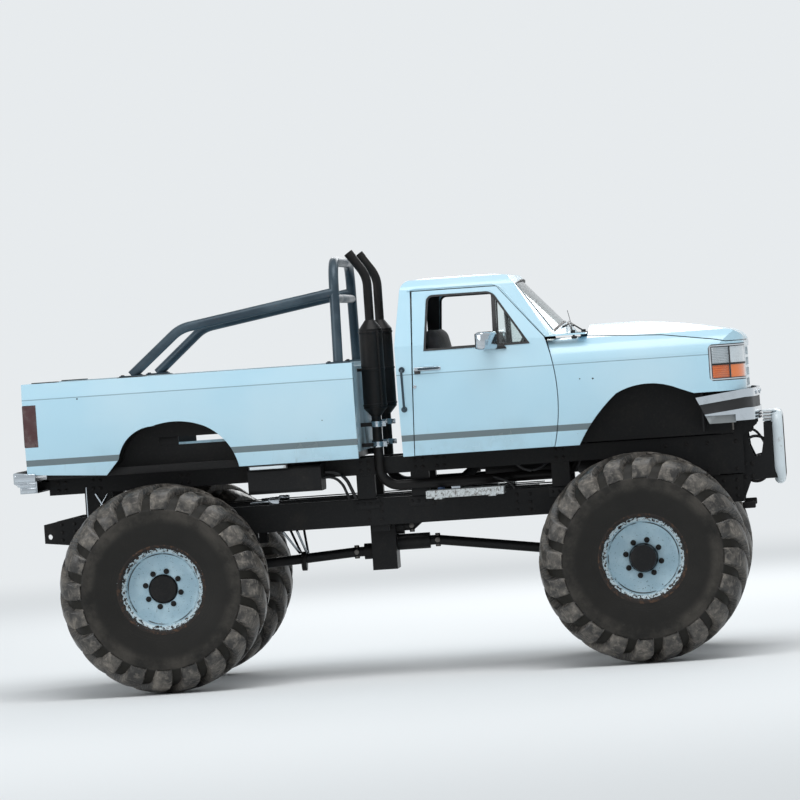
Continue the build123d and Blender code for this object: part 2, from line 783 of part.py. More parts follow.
def grille():
    """Frame across the nose, with level bars and thinner uprights."""
    half = lamp_inner - snug
    low, high = 2012, 2394
    opening_low, opening_high = low + 20, high - 46
    opening_half = half - 26
    frame = (front_body(0) - front_body(70)) & block(2550, 2800, -half, half, low, high)
    inner = (front_body(10) - front_body(71)) & block(2550, 2800, -half, half, low, high)
    opening = block(2500, 2800, -opening_half, opening_half, opening_low, opening_high)
    bars = inner & opening
    row_pitch = (opening_high - opening_low) / grille_rows
    column_pitch = 2 * opening_half / grille_columns
    for row in range(grille_rows):
        z = opening_low + row * row_pitch
        for column in range(grille_columns):
            y = -opening_half + column * column_pitch
            bars -= block(2500, 2800, y + grille_upright / 2, y + column_pitch - grille_upright / 2,
                          z + grille_bar / 2, z + row_pitch - grille_bar / 2)
    return (frame - opening) + bars


def front_plate(inset):
    half = bumper_half - inset
    bend = bumper_half - 65 - inset * 0.8
    front = bumper_front - inset
    return profile(
        (2270, -half), (front - 268 + inset * 0.4, -half), ((front - 118, -bend), (front - 42, -780)),
        ((front, 0), (front - 42, 780)), ((front - 118, bend), (front - 268 + inset * 0.4, half)), (2270, half))


def front_bumper():
    """Wrap-round bumper: a band is let into it, and the valance closes it below, behind the corners."""
    outline = from_side(profile(
        (2434, 1700), (2900, 1700), (2900, bumper_top), (2680, bumper_top), (2305, bumper_top - 44)), -1200, 1200)
    shell = from_above(front_plate(0), bumper_bottom - 50, bumper_top) - from_above(front_plate(26), 1700, 2100)
    shell -= block(2200, bumper_corner, -1200, 1200, 1700, bumper_bottom)
    band = from_above(front_plate(-5), 1800, 2000) - from_above(front_plate(9), 1700, 2100)
    band = band & from_side(profile(
        (2270, 1838), (2680, 1880), (2900, 1880), (2900, 1962), (2680, 1962), (2270, 1916)), -1200, 1200)
    valance = from_above(front_plate(16), bumper_bottom - 61, bumper_bottom - snug)
    valance -= from_above(front_plate(36), 1700, 1900) + block(bumper_corner - snug, 2900, -1200, 1200, 1700, 1900)
    save("front_valance", valance & outline)
    return (shell - band) & outline


def bumper_brackets():
    inner = 26 + snug
    arm = from_side(profile(
        (frame_front + snug, 1560), (2560, 1600), (2900, 1860), (2900, 1990), (2700, 1990), (frame_front + snug, 1675)),
        -frame_outer, -frame_inner)
    room = from_above(front_plate(inner), 1500, 2010)
    arm = arm & room
    arm -= block(2478, 2562, -600, 600, 1500, 2400)
    return arm.solids()


def side_shield():
    """Sheet bolted to the outside of the body frame, between the wheel and the bumper."""
    return from_side(profile(
        (2000, 1375), (2636, 1375), (2636, 1975), (2562, 1975), (2562, frame_top), (2000, frame_top)),
        -frame_outer - snug - 8, -frame_outer - snug)


def rear_bumper():
    outer = profile(
        (-2768, 1678), (-2842, 1678), (-2842, 1742), (-2930, 1752), ((-2943, 1748), (-2946, 1735)), (-2946, 1668),
        (-2900, 1640), (-2900, 1588), (-2768, 1588))
    inner = profile(
        (-2700, 1666), (-2854, 1666), (-2854, 1730), (-2934, 1740), (-2934, 1674), (-2888, 1648), (-2888, 1600),
        (-2700, 1600))
    bar = from_side(outer, -970, 970) - from_side(inner, -958, 958)
    arm = block(-2888 + snug, frame_rear - snug, -frame_outer, -frame_inner, 1602, 1660)
    return bar, [arm, left_of(arm)]


def winch_frame():
    plate_face = profile(
        (rail_front + snug, 1170), (2680, 1318), (2880, 1318), (2880, 1750), (rail_front + snug, 1756))
    window = profile((2650, 1900), (2802, 1900), (2796, 1640), (2768, 1502), (2716, 1492), (2684, 1570))
    plate = from_side(plate_face, -guard_half - 24, 24 - guard_half) - from_side(window, -1000, 0)
    plate += left_of(plate)
    plate -= push_bar_path(push_tube + snug)
    return plate + rod((2720, -guard_half, 1390), (2720, guard_half, 1390), 40)


def push_bar_path(radius):
    x = front_end - push_tube
    top = 1846 - push_tube
    low = 1269 + push_tube
    half = bent_tube([(x, 0, top), (x, -guard_half, top), (x, -guard_half, low), (x, 0, low)], 90, radius)
    return half + left_of(half)


def push_bar():
    x = front_end - push_tube
    bars = push_bar_path(push_tube)
    for z in (1500, 1620, 1740):
        bars += rod((x, -guard_half, z), (x, guard_half, z), 19)
    for z in (1764, 1788, 1812, 1836):
        bars += block(x - 108, x, 12 - guard_half, guard_half - 12, z - 5, z + 5)
    return bars


def bed_section():
    half = [
        (0, 1740), (880, 1740), (900, bed_bottom), (sill_half_width, bed_bottom),
        ((body_half_width - 8, 2000), (body_half_width, crease_z)), (985, bed_rail_z), (bed_inner_half, bed_rail_z),
        (bed_inner_half, bed_floor_z), (0, bed_floor_z),
    ]
    return profile(*half, *mirrored(half))


def rear_arch(grow):
    return profile(
        (-2235 - grow, 1500), (-2235 - grow, sill_z), (-2125 - grow, 1805),
        ((-2050 - grow, 1955 + grow * 0.5), (-1853, 2042 + grow)), ((-1640, 2066 + grow), (-1445, 2016 + grow)),
        ((-1290 + grow, 1885 + grow * 0.5), (-1205 + grow, sill_z)), (-1205 + grow, 1500))


def tail_lamp_box(shrink):
    front = bed_rear + tail_lamp_length
    return block(bed_rear + shrink, front - shrink, -1100, -850 - shrink, tail_lamp_bottom + shrink, tail_lamp_top - shrink)


def bed():
    body = from_front(bed_section(), bed_rear, bed_front)
    body += block(bed_front - 45, bed_front, -bed_inner_half, bed_inner_half, 1760, 2395)
    for side in (-1, 1):
        housing_y = sorted((side * wheelhouse_half, side * (bed_inner_half + wheelhouse_wall)))
        housing = from_side(rear_arch(wheelhouse_wall), *housing_y)
        body += housing & block(-3000, 0, -1100, 1100, 1760, 2200)
        room_y = sorted((side * (wheelhouse_half + wheelhouse_wall), side * 1100))
        body -= from_side(rear_arch(0), *room_y)
        slot_y = sorted((side * (wheelhouse_half - 5), side * (wheelhouse_half + wheelhouse_wall + 5)))
        body -= block(*wheelhouse_slot, *slot_y, wheelhouse_slot_low, wheelhouse_slot_high)
    gate_room = block(bed_rear - 10, bed_rear + tailgate_thickness + panel_gap, -tailgate_half - 12,
                      tailgate_half + 12, bed_floor_z, 2500)
    body -= gate_room
    lamp = tail_lamp_box(0)
    upsweep = from_side(profile((-2235, 1600), (-2235, bed_bottom), (bed_rear - 5, bed_bottom + 40), (bed_rear - 5, 1600)),
                        -1100, -880)
    body -= lamp + left_of(lamp) + upsweep + left_of(upsweep)
    pin = Pos(tailgate_axis_x, 0, tailgate_hinge_z) * Rot(90, 0, 0) * Cylinder(10 + running_fit, 2 * tailgate_half + 64)
    body -= pin
    for x in (-2640, -2350, -1000, -650, -400):
        body += block(x - 45, x + 45, -860, 860, frame_top + snug, 1745)
    return body


def tail_lamps():
    shape = from_front(profile(
        (sill_half_width - 2, bed_bottom), ((body_half_width - 10, 2000), (body_half_width - 2, crease_z)),
        (bed_inner_half, crease_z), (bed_inner_half, bed_bottom)), bed_rear, bed_rear + 200)
    shape = left_of(shape) & tail_lamp_box(snug)
    save("tail_lamps", shape, left_of(shape))


def tailgate():
    gate = block(bed_rear, bed_rear + tailgate_thickness, -tailgate_half, tailgate_half, tailgate_bottom, bed_rail_z)
    gate -= block(bed_rear - 10, bed_rear + 8, -tailgate_half + 90, tailgate_half - 90, tailgate_bottom + 110, bed_rail_z - 120)
    pin = Pos(tailgate_axis_x, 0, tailgate_hinge_z) * Rot(90, 0, 0) * Cylinder(10, 2 * tailgate_half + 60)
    return gate + pin


def roll_bar():
    plate_z = bed_rail_z + snug
    foot_z = plate_z + 12
    hoop = bent_tube([(hoop_x, -rail_mid_half, foot_z), (hoop_x, -hoop_half, hoop_top),
                      (hoop_x, hoop_half, hoop_top), (hoop_x, rail_mid_half, foot_z)], 210, roll_tube)
    brace = bent_tube([(hoop_x, -832, 2970), (-1598, -870, 2772), (-1990, -rail_mid_half, foot_z)], 260, roll_tube)
    bar = hoop + brace + left_of(brace)
    for side in (-1, 1):
        for x in (hoop_x, -1990):
            bar += block(x - 90, x + 90, side * rail_mid_half - 60, side * rail_mid_half + 60, plate_z, foot_z + 2)
    return bar & block(-3000, 0, -1100, 1100, plate_z, 4000)


def exhaust_stack():
    y = -stack_half
    manifold = engine_rear - snug
    pipe = bent_tube([(stack_x, y, 2050), (stack_x, y, 1457), (640, y, 1457), (800, -250, 1457),
                      (1300, -250, 1457), (1420, -250, 1760), (manifold, -250, 1760)],
                     (150, 150, 150, 150, 60), stack_pipe)
    drum = revolve(Plane.XZ * profile((0, 2000), (stack_pipe, 2000), (muffler_radius, 2060), (muffler_radius, 2670),
                                      (stack_pipe, 2740), (0, 2740)), Axis.Z)
    upper = bent_tube([(stack_x, y, 2700), (stack_x, y, 3080), (stack_x - 129, y, 3265)], 240, stack_pipe - 3)
    stack = pipe + Pos(stack_x, y, 0) * drum + upper
    for z in (1937, 1780):
        stack += block(bed_front + snug, stack_x, y - 20, y + 20, z - 15, z + 15)
    return stack


def step_plate():
    """Tread plate on two arms that are bolted to the chassis rail."""
    step = block(209, 802, -1000, -720, 1350, 1408) - block(215, 796, -994, -726, 1300, 1402)
    for x in (300, 710):
        step += block(x - 30, x + 30, -994, -rail_outer - snug, 1345 - 5, 1395)
    return step


def fuel_tank():
    tank = block(-1154, -591, -900, -frame_outer - snug, 1463, 1672)
    return fillet(tank.edges().filter_by(Axis.X), 40)


def seat():
    cushion = profile(
        (330, 2080), (300, 1960), (900, 1960), ((925, 2040), (890, 2110)), (470, 2095), (350, 2640),
        ((300, 2670), (245, 2640)))
    return from_side(cushion, -660, 660)


def dashboard():
    face = profile(
        (1050, 2420), ((1060, 2475), (1110, 2492)), (1400, 2500), (1400, 2481), (1275 - snug, 2481),
        (1275 - snug, 2170), (1130, 2170))
    return from_side(face, -775, 775) & greenhouse(wall + 1)


def steering_wheel(dash):
    place = Plane(origin=(900, 400, 2390), z_dir=(-0.88, 0, 0.475))
    wheel = place * Torus(185, 14)
    wheel += place * Pos(0, 0, -12) * Cylinder(48, 34)
    for turn in (0, 120, 240):
        wheel += place * Rot(0, 0, turn + 90) * Pos(92, 0, -6) * Box(180, 26, 10)
    wheel += rod((900, 400, 2390), (1200, 400, 2228), 26)
    return (wheel - dash).solids().sort_by(Axis.X)[0]


def interior():
    save("seat", seat())
    dash = dashboard()
    save("dashboard", dash)
    save("steering_wheel", steering_wheel(dash))


def outer_parts():
    liner = inner_fender()
    save("engine_bay_panels", liner, left_of(liner), radiator())
    front_lamps()
    save("grille", grille())
    bar, rear_arms = rear_bumper()
    save("bumpers", front_bumper(), bar)
    arms = bumper_brackets()
    save("bumper_brackets", *arms, *[left_of(arm) for arm in arms], *rear_arms, winch_frame(),
         side_shield(), left_of(side_shield()))
    save("push_bar", push_bar())
    save("bed", bed())
    tail_lamps()
    save("tailgate", tailgate())
    save("roll_bar", roll_bar())
    stack = exhaust_stack()
    save("exhaust_stacks", stack, left_of(stack))
    step = step_plate()
    save("step_plates", step, left_of(step))
    save("fuel_tank", fuel_tank())


def build():
    os.makedirs("parts", exist_ok=True)
    wheels()
    steering()
    save("chassis_members", *chassis(), *body_frame(), *suspension())
    drive_line()
    save("engine", engine())
    save("cab", cab())
    save("cab_glass", *cab_glass())
    doors()
    front_panels()
    outer_parts()
    interior()


build()
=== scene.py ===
import math

import bpy
from mathutils import Matrix, Vector


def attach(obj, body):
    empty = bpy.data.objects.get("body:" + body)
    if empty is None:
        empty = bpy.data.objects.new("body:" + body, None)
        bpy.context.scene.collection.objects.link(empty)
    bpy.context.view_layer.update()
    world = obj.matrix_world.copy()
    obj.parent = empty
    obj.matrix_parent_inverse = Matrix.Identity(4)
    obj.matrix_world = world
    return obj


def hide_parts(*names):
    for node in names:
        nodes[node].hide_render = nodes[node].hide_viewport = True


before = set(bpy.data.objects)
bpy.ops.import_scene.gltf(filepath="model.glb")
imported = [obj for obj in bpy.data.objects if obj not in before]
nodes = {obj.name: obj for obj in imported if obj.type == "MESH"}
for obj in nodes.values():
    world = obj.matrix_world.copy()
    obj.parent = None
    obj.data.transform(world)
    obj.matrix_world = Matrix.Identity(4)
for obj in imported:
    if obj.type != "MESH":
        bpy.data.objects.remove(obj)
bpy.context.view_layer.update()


# Wires: an output of a shader node, so that sums and products of them become Math nodes
class Wire:
    def __init__(self, socket):
        self.socket = socket

    def node(self, kind, settings, sockets, output=0):
        tree = self.socket.id_data
        made = tree.nodes.new(kind)
        for name, value in settings.items():
            setattr(made, name, value)
        for name, value in sockets.items():
            if isinstance(value, Wire):
                tree.links.new(value.socket, made.inputs[name])
            else:
                made.inputs[name].default_value = value
        return Wire(made.outputs[output])

    def maths(self, operation, first, second=0.0):
        return self.node("ShaderNodeMath", {"operation": operation}, {0: first, 1: second})

    def __add__(self, other):
        return self.maths("ADD", self, other)

    def __radd__(self, other):
        return self.maths("ADD", other, self)

    def __sub__(self, other):
        return self.maths("SUBTRACT", self, other)

    def __rsub__(self, other):
        return self.maths("SUBTRACT", other, self)

    def __mul__(self, other):
        return self.maths("MULTIPLY", self, other)

    def __rmul__(self, other):
        return self.maths("MULTIPLY", other, self)

    def __abs__(self):
        return self.maths("ABSOLUTE", self)


def newFinish(name):
    finish = bpy.data.materials.new(name)
    finish.use_nodes = True
    return finish, Wire(finish.node_tree.nodes.new("ShaderNodeTexCoord").outputs["Object"])


def setShader(finish, sockets):
    shader = finish.node_tree.nodes["Principled BSDF"]
    for name, value in sockets.items():
        if isinstance(value, Wire):
            finish.node_tree.links.new(value.socket, shader.inputs[name])
        else:
            shader.inputs[name].default_value = value
    return finish


def axis(here, letter):
    return here.node("ShaderNodeSeparateXYZ", {}, {0: here}, "xyz".index(letter))


def rise(value, low, high):  # 0 below low, 1 above high, smooth between
    sockets = {"Value": value, "From Min": low, "From Max": high, "To Min": 0.0, "To Max": 1.0}
    return value.node("ShaderNodeMapRange", {"interpolation_type": "SMOOTHSTEP"}, sockets)


def within(value, low, high, soft):  # 1 between low and high
    return rise(value, low - soft, low + soft) * (1 - rise(value, high - soft, high + soft))


def cloud(here, scale, detail=4.0, roughness=0.55):
    sockets = {"Vector": here, "Scale": scale, "Detail": detail, "Roughness": roughness}
    return here.node("ShaderNodeTexNoise", {}, sockets)


def cells(here, scale):
    return here.node("ShaderNodeTexVoronoi", {}, {"Vector": here, "Scale": scale})


def blend(mask, first, second):
    return mask.node("ShaderNodeMix", {"data_type": "RGBA"}, {0: mask, 6: first, 7: second}, 2)


def scaled(here, scale):
    return here.node("ShaderNodeMapping", {}, {"Vector": here, "Scale": scale})


def bumped(height, strength, distance, normal=None):
    sockets = {"Height": height, "Strength": strength, "Distance": distance}
    if normal is not None:
        sockets["Normal"] = normal
    return height.node("ShaderNodeBump", {}, sockets)


def softEdges(here, radius):
    return here.node("ShaderNodeBevel", {"samples": 4}, {"Radius": radius})


def fromAxis(here, centre):  # distance from a wheel's axle line, which runs along Y
    x, z = axis(here, "x"), axis(here, "z")
    across = (x - centre[0]).maths("POWER", x - centre[0], 2.0)
    up = z.maths("POWER", z - centre[1], 2.0)
    return across.maths("SQRT", across + up)


# Finishes
bodyLook = {
    "paint": (0.43, 0.665, 0.79, 1), "faded": (0.50, 0.70, 0.80, 1), "stripe": (0.125, 0.172, 0.190, 1),
    "grime": (0.12, 0.12, 0.11, 1),
    "stripeLow": 1.795, "stripeHigh": 1.843, "flank": 0.9,
    # line: the crease's dark colour, painted shade in the groove
    "crease": 2.302, "line": (0.14, 0.21, 0.26, 1),
}


def makeBodyPaint():
    finish, here = newFinish("bodyPaint")
    y, z = axis(here, "y"), axis(here, "z")
    flank = rise(abs(y), bodyLook["flank"], bodyLook["flank"] + 0.02)
    stripe = within(z, bodyLook["stripeLow"], bodyLook["stripeHigh"], 0.0015) * flank
    crease = within(z, bodyLook["crease"] - 0.003, bodyLook["crease"] + 0.003, 0.002) * flank
    patches = rise(cloud(here, 2.3, 6.0), 0.45, 0.75)
    low = 1 - rise(z, 1.68, 1.98)
    specks = rise(cloud(here, 90.0, 2.0), 0.715, 0.74) * (0.2 + 0.6 * low)
    runs = rise(cloud(scaled(here, (9.0, 9.0, 1.1)), 3.0, 4.0), 0.6, 0.8) * low
    grime = patches * low * 0.26 + specks * 0.75 + runs * 0.25
    fade = rise(cloud(here, 0.9, 3.0), 0.35, 0.7)
    colour = blend(fade, bodyLook["paint"], bodyLook["faded"])
    colour = blend(stripe, colour, bodyLook["stripe"])
    # painted shade: the crease groove is darkened in the colour as well as bumped
    colour = blend(crease * 0.75, colour, bodyLook["line"])
    colour = blend(grime, colour, bodyLook["grime"])
    height = cloud(here, 260.0, 2.0) * 0.04 - crease
    ripple = bumped(height, 0.6, 0.002, softEdges(here, 0.005))
    sockets = {"Base Color": colour, "Roughness": 0.22 + 0.4 * grime + 0.05 * fade,
               "Coat Weight": 0.45 - 0.4 * grime,
               "Coat Roughness": 0.07, "Normal": ripple}
    return setShader(finish, sockets)


def makeLinerPaint():  # inside of the bed: scraped paint with dirt in the corners
    finish, here = newFinish("bedLinerPaint")
    z = axis(here, "z")
    low = 1 - rise(z, 1.79, 2.15)
    scrapes = rise(cloud(scaled(here, (1.0, 7.0, 7.0)), 5.0, 6.0, 0.65), 0.55, 0.7)
    dirt = rise(cloud(here, 4.0, 8.0, 0.65), 0.40, 0.68) * (0.25 + 0.6 * low)
    colour = blend(scrapes * 0.5, (0.36, 0.50, 0.57, 1), (0.16, 0.155, 0.15, 1))
    colour = blend(dirt, colour, (0.10, 0.088, 0.072, 1))
    sockets = {"Base Color": colour, "Roughness": 0.45 + 0.4 * dirt,
               "Normal": bumped(scrapes + dirt, 0.3, 0.0015, softEdges(here, 0.004))}
    return setShader(finish, sockets)


def makeCabinTrim():
    finish, here = newFinish("cabinTrim")
    grain = cells(here, 420.0)
    faded = rise(cloud(here, 3.0, 5.0), 0.4, 0.75)
    sockets = {"Base Color": blend(faded, (0.028, 0.029, 0.031, 1), (0.050, 0.050, 0.050, 1)),
               "Roughness": 0.72 + 0.15 * faded,
               "Normal": bumped(grain, 0.3, 0.0008, softEdges(here, 0.004))}
    return setShader(finish, sockets)


def makeWhitePaint():
    finish, here = newFinish("whitePaint")
    scuffs = rise(cloud(here, 9.0, 8.0, 0.7), 0.56, 0.72)
    colour = blend(scuffs * 0.55, (0.68, 0.76, 0.80, 1), (0.20, 0.17, 0.15, 1))
    sockets = {"Base Color": colour, "Roughness": 0.28 + 0.4 * scuffs, "Coat Weight": 0.3,
               "Normal": bumped(scuffs, 0.1, 0.001, softEdges(here, 0.003))}
    return setShader(finish, sockets)


def makeChassisBlack(name, base, dust, amount):
    finish, here = newFinish(name)
    patches = rise(cloud(here, 3.5, 8.0, 0.65), 0.48, 0.72)
    grains = rise(cloud(here, 60.0, 4.0), 0.5, 0.72)
    clods = rise(cloud(here, 26.0, 5.0, 0.6), 0.62, 0.68) * patches
    dusty = (patches * 0.6 + grains * 0.4) * amount + clods * amount * 0.7
    colour = blend(dusty, base, dust)
    height = cloud(here, 110.0, 4.0) * 0.4 + clods
    sockets = {"Base Color": colour, "Roughness": 0.42 + 0.45 * dusty, "Specular IOR Level": 0.22,
               "Normal": bumped(height, 0.35, 0.002, softEdges(here, 0.003))}
    return setShader(finish, sockets)


def makeMetal(name, colour, roughness, marks, markColour):
    finish, here = newFinish(name)
    film = rise(cloud(here, 6.0, 6.0, 0.6), 0.46, 0.74)
    pits = rise(cloud(here, 140.0, 3.0), 0.66, 0.7)
    worn = (film * 0.55 + pits) * marks
    sockets = {"Base Color": blend(worn, colour, markColour), "Metallic": 1 - 0.7 * worn,
               "Roughness": roughness + 0.45 * worn + 0.05 * cloud(here, 40.0),
               "Normal": bumped(pits, 0.2, 0.001)}
    return setShader(finish, sockets)


# Low and high ends of the bezel's gaps, painted near black as shade: round it, and level and upright ones
# round its panes
bezelGaps = {
    "behind": (2.4290, 2.4305), "under": (2.1045, 2.1060), "over": (2.3685, 2.3700),
    "level": [(2.3540, 2.3600), (2.1140, 2.1200), (2.2145, 2.2315)],
    "upright": [(2.4425, 2.4480), (2.5765, 2.5875)],
    "panesBehind": (2.4420, 2.4430), "panes": (2.1140, 2.3600), "soft": 0.0008, "softEnds": 0.0010,
}


def makeBezelChrome():  # chrome frame with painted shade in the gaps round it and round its panes
    finish, here = newFinish("bezelChrome")
    x, z = axis(here, "x"), axis(here, "z")
    behind = 1 - rise(x, *bezelGaps["behind"])
    outer = behind + (1 - rise(z, *bezelGaps["under"])) + rise(z, *bezelGaps["over"])
    level = sum(within(z, low, high, bezelGaps["soft"]) for low, high in bezelGaps["level"])
    upright = sum(within(x, low, high, bezelGaps["soft"]) for low, high in bezelGaps["upright"])
    panes = within(z, *bezelGaps["panes"], bezelGaps["softEnds"])
    inner = level * rise(x, *bezelGaps["panesBehind"]) + upright * panes
    # painted shade: near black and not metallic in the gaps
    gapShade = x.maths("MINIMUM", outer + inner, 1.0)
    film = rise(cloud(here, 9.0, 5.0), 0.45, 0.75) * 0.3
    chrome = blend(film, (0.66, 0.70, 0.74, 1), (0.20, 0.19, 0.18, 1))
    sockets = {"Base Color": blend(gapShade, chrome, (0.008, 0.008, 0.009, 1)), "Metallic": 1 - gapShade,
               "Roughness": 0.08 + 0.4 * gapShade + 0.3 * film}
    return setShader(finish, sockets)


def makeBarSteel():
    finish, here = newFinish("barSteel")
    haze = rise(cloud(here, 4.0, 6.0), 0.42, 0.7)
    chips = rise(cloud(here, 55.0, 5.0, 0.6), 0.66, 0.69)
    colour = blend(haze, (0.026, 0.046, 0.064, 1), (0.055, 0.085, 0.108, 1))
    colour = blend(chips, colour, (0.09, 0.06, 0.045, 1))
    sockets = {"Base Color": colour, "Metallic": 0.3 - 0.25 * chips,
               "Roughness": 0.30 + 0.18 * haze + 0.3 * chips,
               "Normal": bumped(cloud(here, 190.0, 3.0), 0.12, 0.001)}
    return setShader(finish, sockets)


def makeTyreWall(name, axle):
    finish, here = newFinish(name)
    radius = fromAxis(here, axle)
    smear = cloud(here, 5.0, 8.0, 0.65)
    grain = cloud(here, 75.0, 5.0, 0.6)
    crumbs = rise(cloud(here, 34.0, 6.0, 0.7), 0.62, 0.70)
    # beyond 0.606 the dust stops, and beyond 0.612 the carcass between the lugs turns near black: painted
    # shade between the lugs
    upper = rise(radius, 0.49, 0.56) * (1 - 0.97 * rise(radius, 0.606, 0.618))
    dust = rise(smear, 0.30, 0.72) * (0.03 + 0.34 * upper) + crumbs * (0.03 + 0.13 * upper)
    bands = ((0.566, 0.570), (0.392, 0.396), (0.372, 0.375))
    ribs = sum(within(radius, low, high, 0.001) for low, high in bands)
    colour = blend(dust, (0.0085, 0.0078, 0.0066, 1), (0.125, 0.112, 0.096, 1))
    lugGapShade = rise(radius, 0.612, 0.625)
    colour = blend(lugGapShade * (1 - rise(smear, 0.45, 0.7)) * 0.8, colour, (0.0075, 0.0062, 0.0030, 1))
    height = grain * 0.35 + crumbs + ribs * 0.6
    sockets = {"Base Color": colour, "Roughness": 0.50 + 0.42 * dust, "Specular IOR Level": 0.25,
               "Normal": bumped(height, 0.5, 0.003)}
    return setShader(finish, sockets)


def makeLugRubber():  # damp lugs: dusty on their ends, with streaks along the bars
    finish, here = newFinish("lugRubber")
    mud = cloud(here, 9.0, 8.0, 0.7)
    streaks = rise(cloud(scaled(here, (1.0, 5.0, 1.0)), 22.0, 5.0, 0.6), 0.50, 0.64)
    chips = rise(cells(here, 55.0), 0.05, 0.35)
    dust = rise(mud, 0.40, 0.66) * 0.45 + streaks * 0.35 + rise(mud, 0.60, 0.70) * 0.3
    colour = blend(dust, (0.014, 0.0125, 0.011, 1), (0.235, 0.210, 0.180, 1))
    height = mud * 0.6 + streaks * 0.5 + chips * 0.25
    sockets = {"Base Color": colour, "Roughness": 0.34 + 0.4 * rise(mud, 0.4, 0.7),
               "Coat Weight": 0.25 - 0.2 * streaks,
               "Coat Roughness": 0.2, "Normal": bumped(height, 0.7, 0.004, softEdges(here, 0.006))}
    return setShader(finish, sockets)


def makeRimPaint(name, axle, flaked):
    finish, here = newFinish(name)
    radius = fromAxis(here, axle)
    flakes = cloud(here, 42.0, 6.0, 0.72)
    edge = rise(radius, 0.270, 0.290)
    lip = rise(radius, 0.306, 0.320)
    bare = rise(flakes, 0.62 - 0.12 * edge - flaked * lip, 0.66 - 0.12 * edge - flaked * lip)
    # painted shadow: a near-black ring between the disc and the barrel, broken up by noise
    shadowRing = within(radius, 0.264, 0.272, 0.002) * rise(cloud(here, 6.0, 4.0), 0.42, 0.55)
    specks = rise(cloud(here, 120.0, 3.0), 0.68, 0.71)
    tint = blend(rise(cloud(here, 7.0, 5.0), 0.4, 0.7), (0.34, 0.50, 0.59, 1), (0.44, 0.60, 0.68, 1))
    tint = blend(edge * 0.8, tint, (0.56, 0.66, 0.70, 1))
    rust = blend(rise(cloud(here, 30.0, 5.0), 0.50, 0.66), (0.014, 0.010, 0.008, 1),
                 (0.060, 0.030, 0.016, 1))
    colour = blend(bare, tint, rust)
    colour = blend(specks * (1 - bare), colour, (0.04, 0.035, 0.03, 1))
    colour = blend(shadowRing, colour, (0.012, 0.011, 0.011, 1))
    sockets = {"Base Color": colour, "Roughness": 0.34 + 0.5 * bare, "Normal": bumped(1 - bare, 0.5, 0.0015)}
    return setShader(finish, sockets)


def makeGlass():
    finish, here = newFinish("windowGlass")
    film = rise(cloud(here, 3.0, 6.0), 0.45, 0.8)
    sockets = {"Base Color": (0.80, 0.88, 0.88, 1), "Roughness": 0.015 + 0.05 * film, "IOR": 1.45,
               "Transmission Weight": 1.0}
    return setShader(finish, sockets)


def makeLens(name, colour, shade, fluteScale, split):  # flutes run up the side pane, behind the split
    finish, here = newFinish(name)
    x, y, z = axis(here, "x"), axis(here, "y"), axis(here, "z")
    side = 1 - rise(x, split - 0.002, split + 0.002)
    flutes = x.maths("SINE", (x + y * 0.25) * fluteScale) * 0.5 + 0.5
    steps = x.maths("SINE", z * fluteScale * 0.55) * 0.5 + 0.5
    pattern = flutes * (0.35 + 0.65 * side) + steps * side * 0.6
    film = rise(cloud(here, 12.0, 5.0), 0.4, 0.75)
    tint = blend(rise(pattern, 0.2, 1.3), colour, shade)
    sockets = {"Base Color": blend(film * 0.2, tint, (0.30, 0.29, 0.27, 1)),
               "Metallic": 0.25 + 0.25 * rise(pattern, 0.5, 1.2),
               "Roughness": 0.16 + 0.2 * film, "Coat Weight": 1.0, "Coat Roughness": 0.02,
               "Normal": bumped(pattern, 0.5, 0.003)}
    return setShader(finish, sockets)


def makePlastic(name, colour, roughness, grainScale):
    finish, here = newFinish(name)
    grain = cells(here, grainScale)
    worn = rise(cloud(here, 8.0, 6.0), 0.5, 0.75)
    lighter = tuple(min(1.0, 1.7 * part + 0.02) for part in colour[:3]) + (1,)
    sockets = {"Base Color": blend(worn, colour, lighter), "Roughness": roughness + 0.2 * worn,
               "Normal": bumped(grain, 0.15, 0.0006, softEdges(here, 0.002))}
    return setShader(finish, sockets)


def makeTreadPlate():
    finish, here = newFinish("treadPlate")
    x, y = axis(here, "x"), axis(here, "y")
    first = x.maths("SINE", (x + y) * 210.0)
    second = x.maths("SINE", (x - y) * 210.0)
    bars = rise(first * second, 0.45, 0.75)
    dirt = rise(cloud(here, 40.0, 6.0, 0.7), 0.45, 0.62) * (1 - 0.6 * bars)
    colour = blend(dirt, (0.66, 0.70, 0.71, 1), (0.11, 0.10, 0.09, 1))
    sockets = {"Base Color": colour, "Metallic": 0.85 - 0.7 * dirt, "Roughness": 0.33 + 0.4 * dirt,
               "Normal": bumped(bars, 0.8, 0.002)}
    return setShader(finish, sockets)


def makeSeatCloth():
    finish, here = newFinish("seatCloth")
    x, y, z = axis(here, "x"), axis(here, "y"), axis(here, "z")
    weave = x.maths("SINE", y * 1900.0) * x.maths("SINE", (x + z) * 1900.0)
    tint = rise(cloud(here, 14.0, 5.0), 0.35, 0.7)
    sockets = {"Base Color": blend(tint, (0.050, 0.052, 0.058, 1), (0.085, 0.087, 0.094, 1)),
               "Roughness": 0.9,
               "Sheen Weight": 0.3, "Normal": bumped(weave, 0.25, 0.0008)}
    return setShader(finish, sockets)


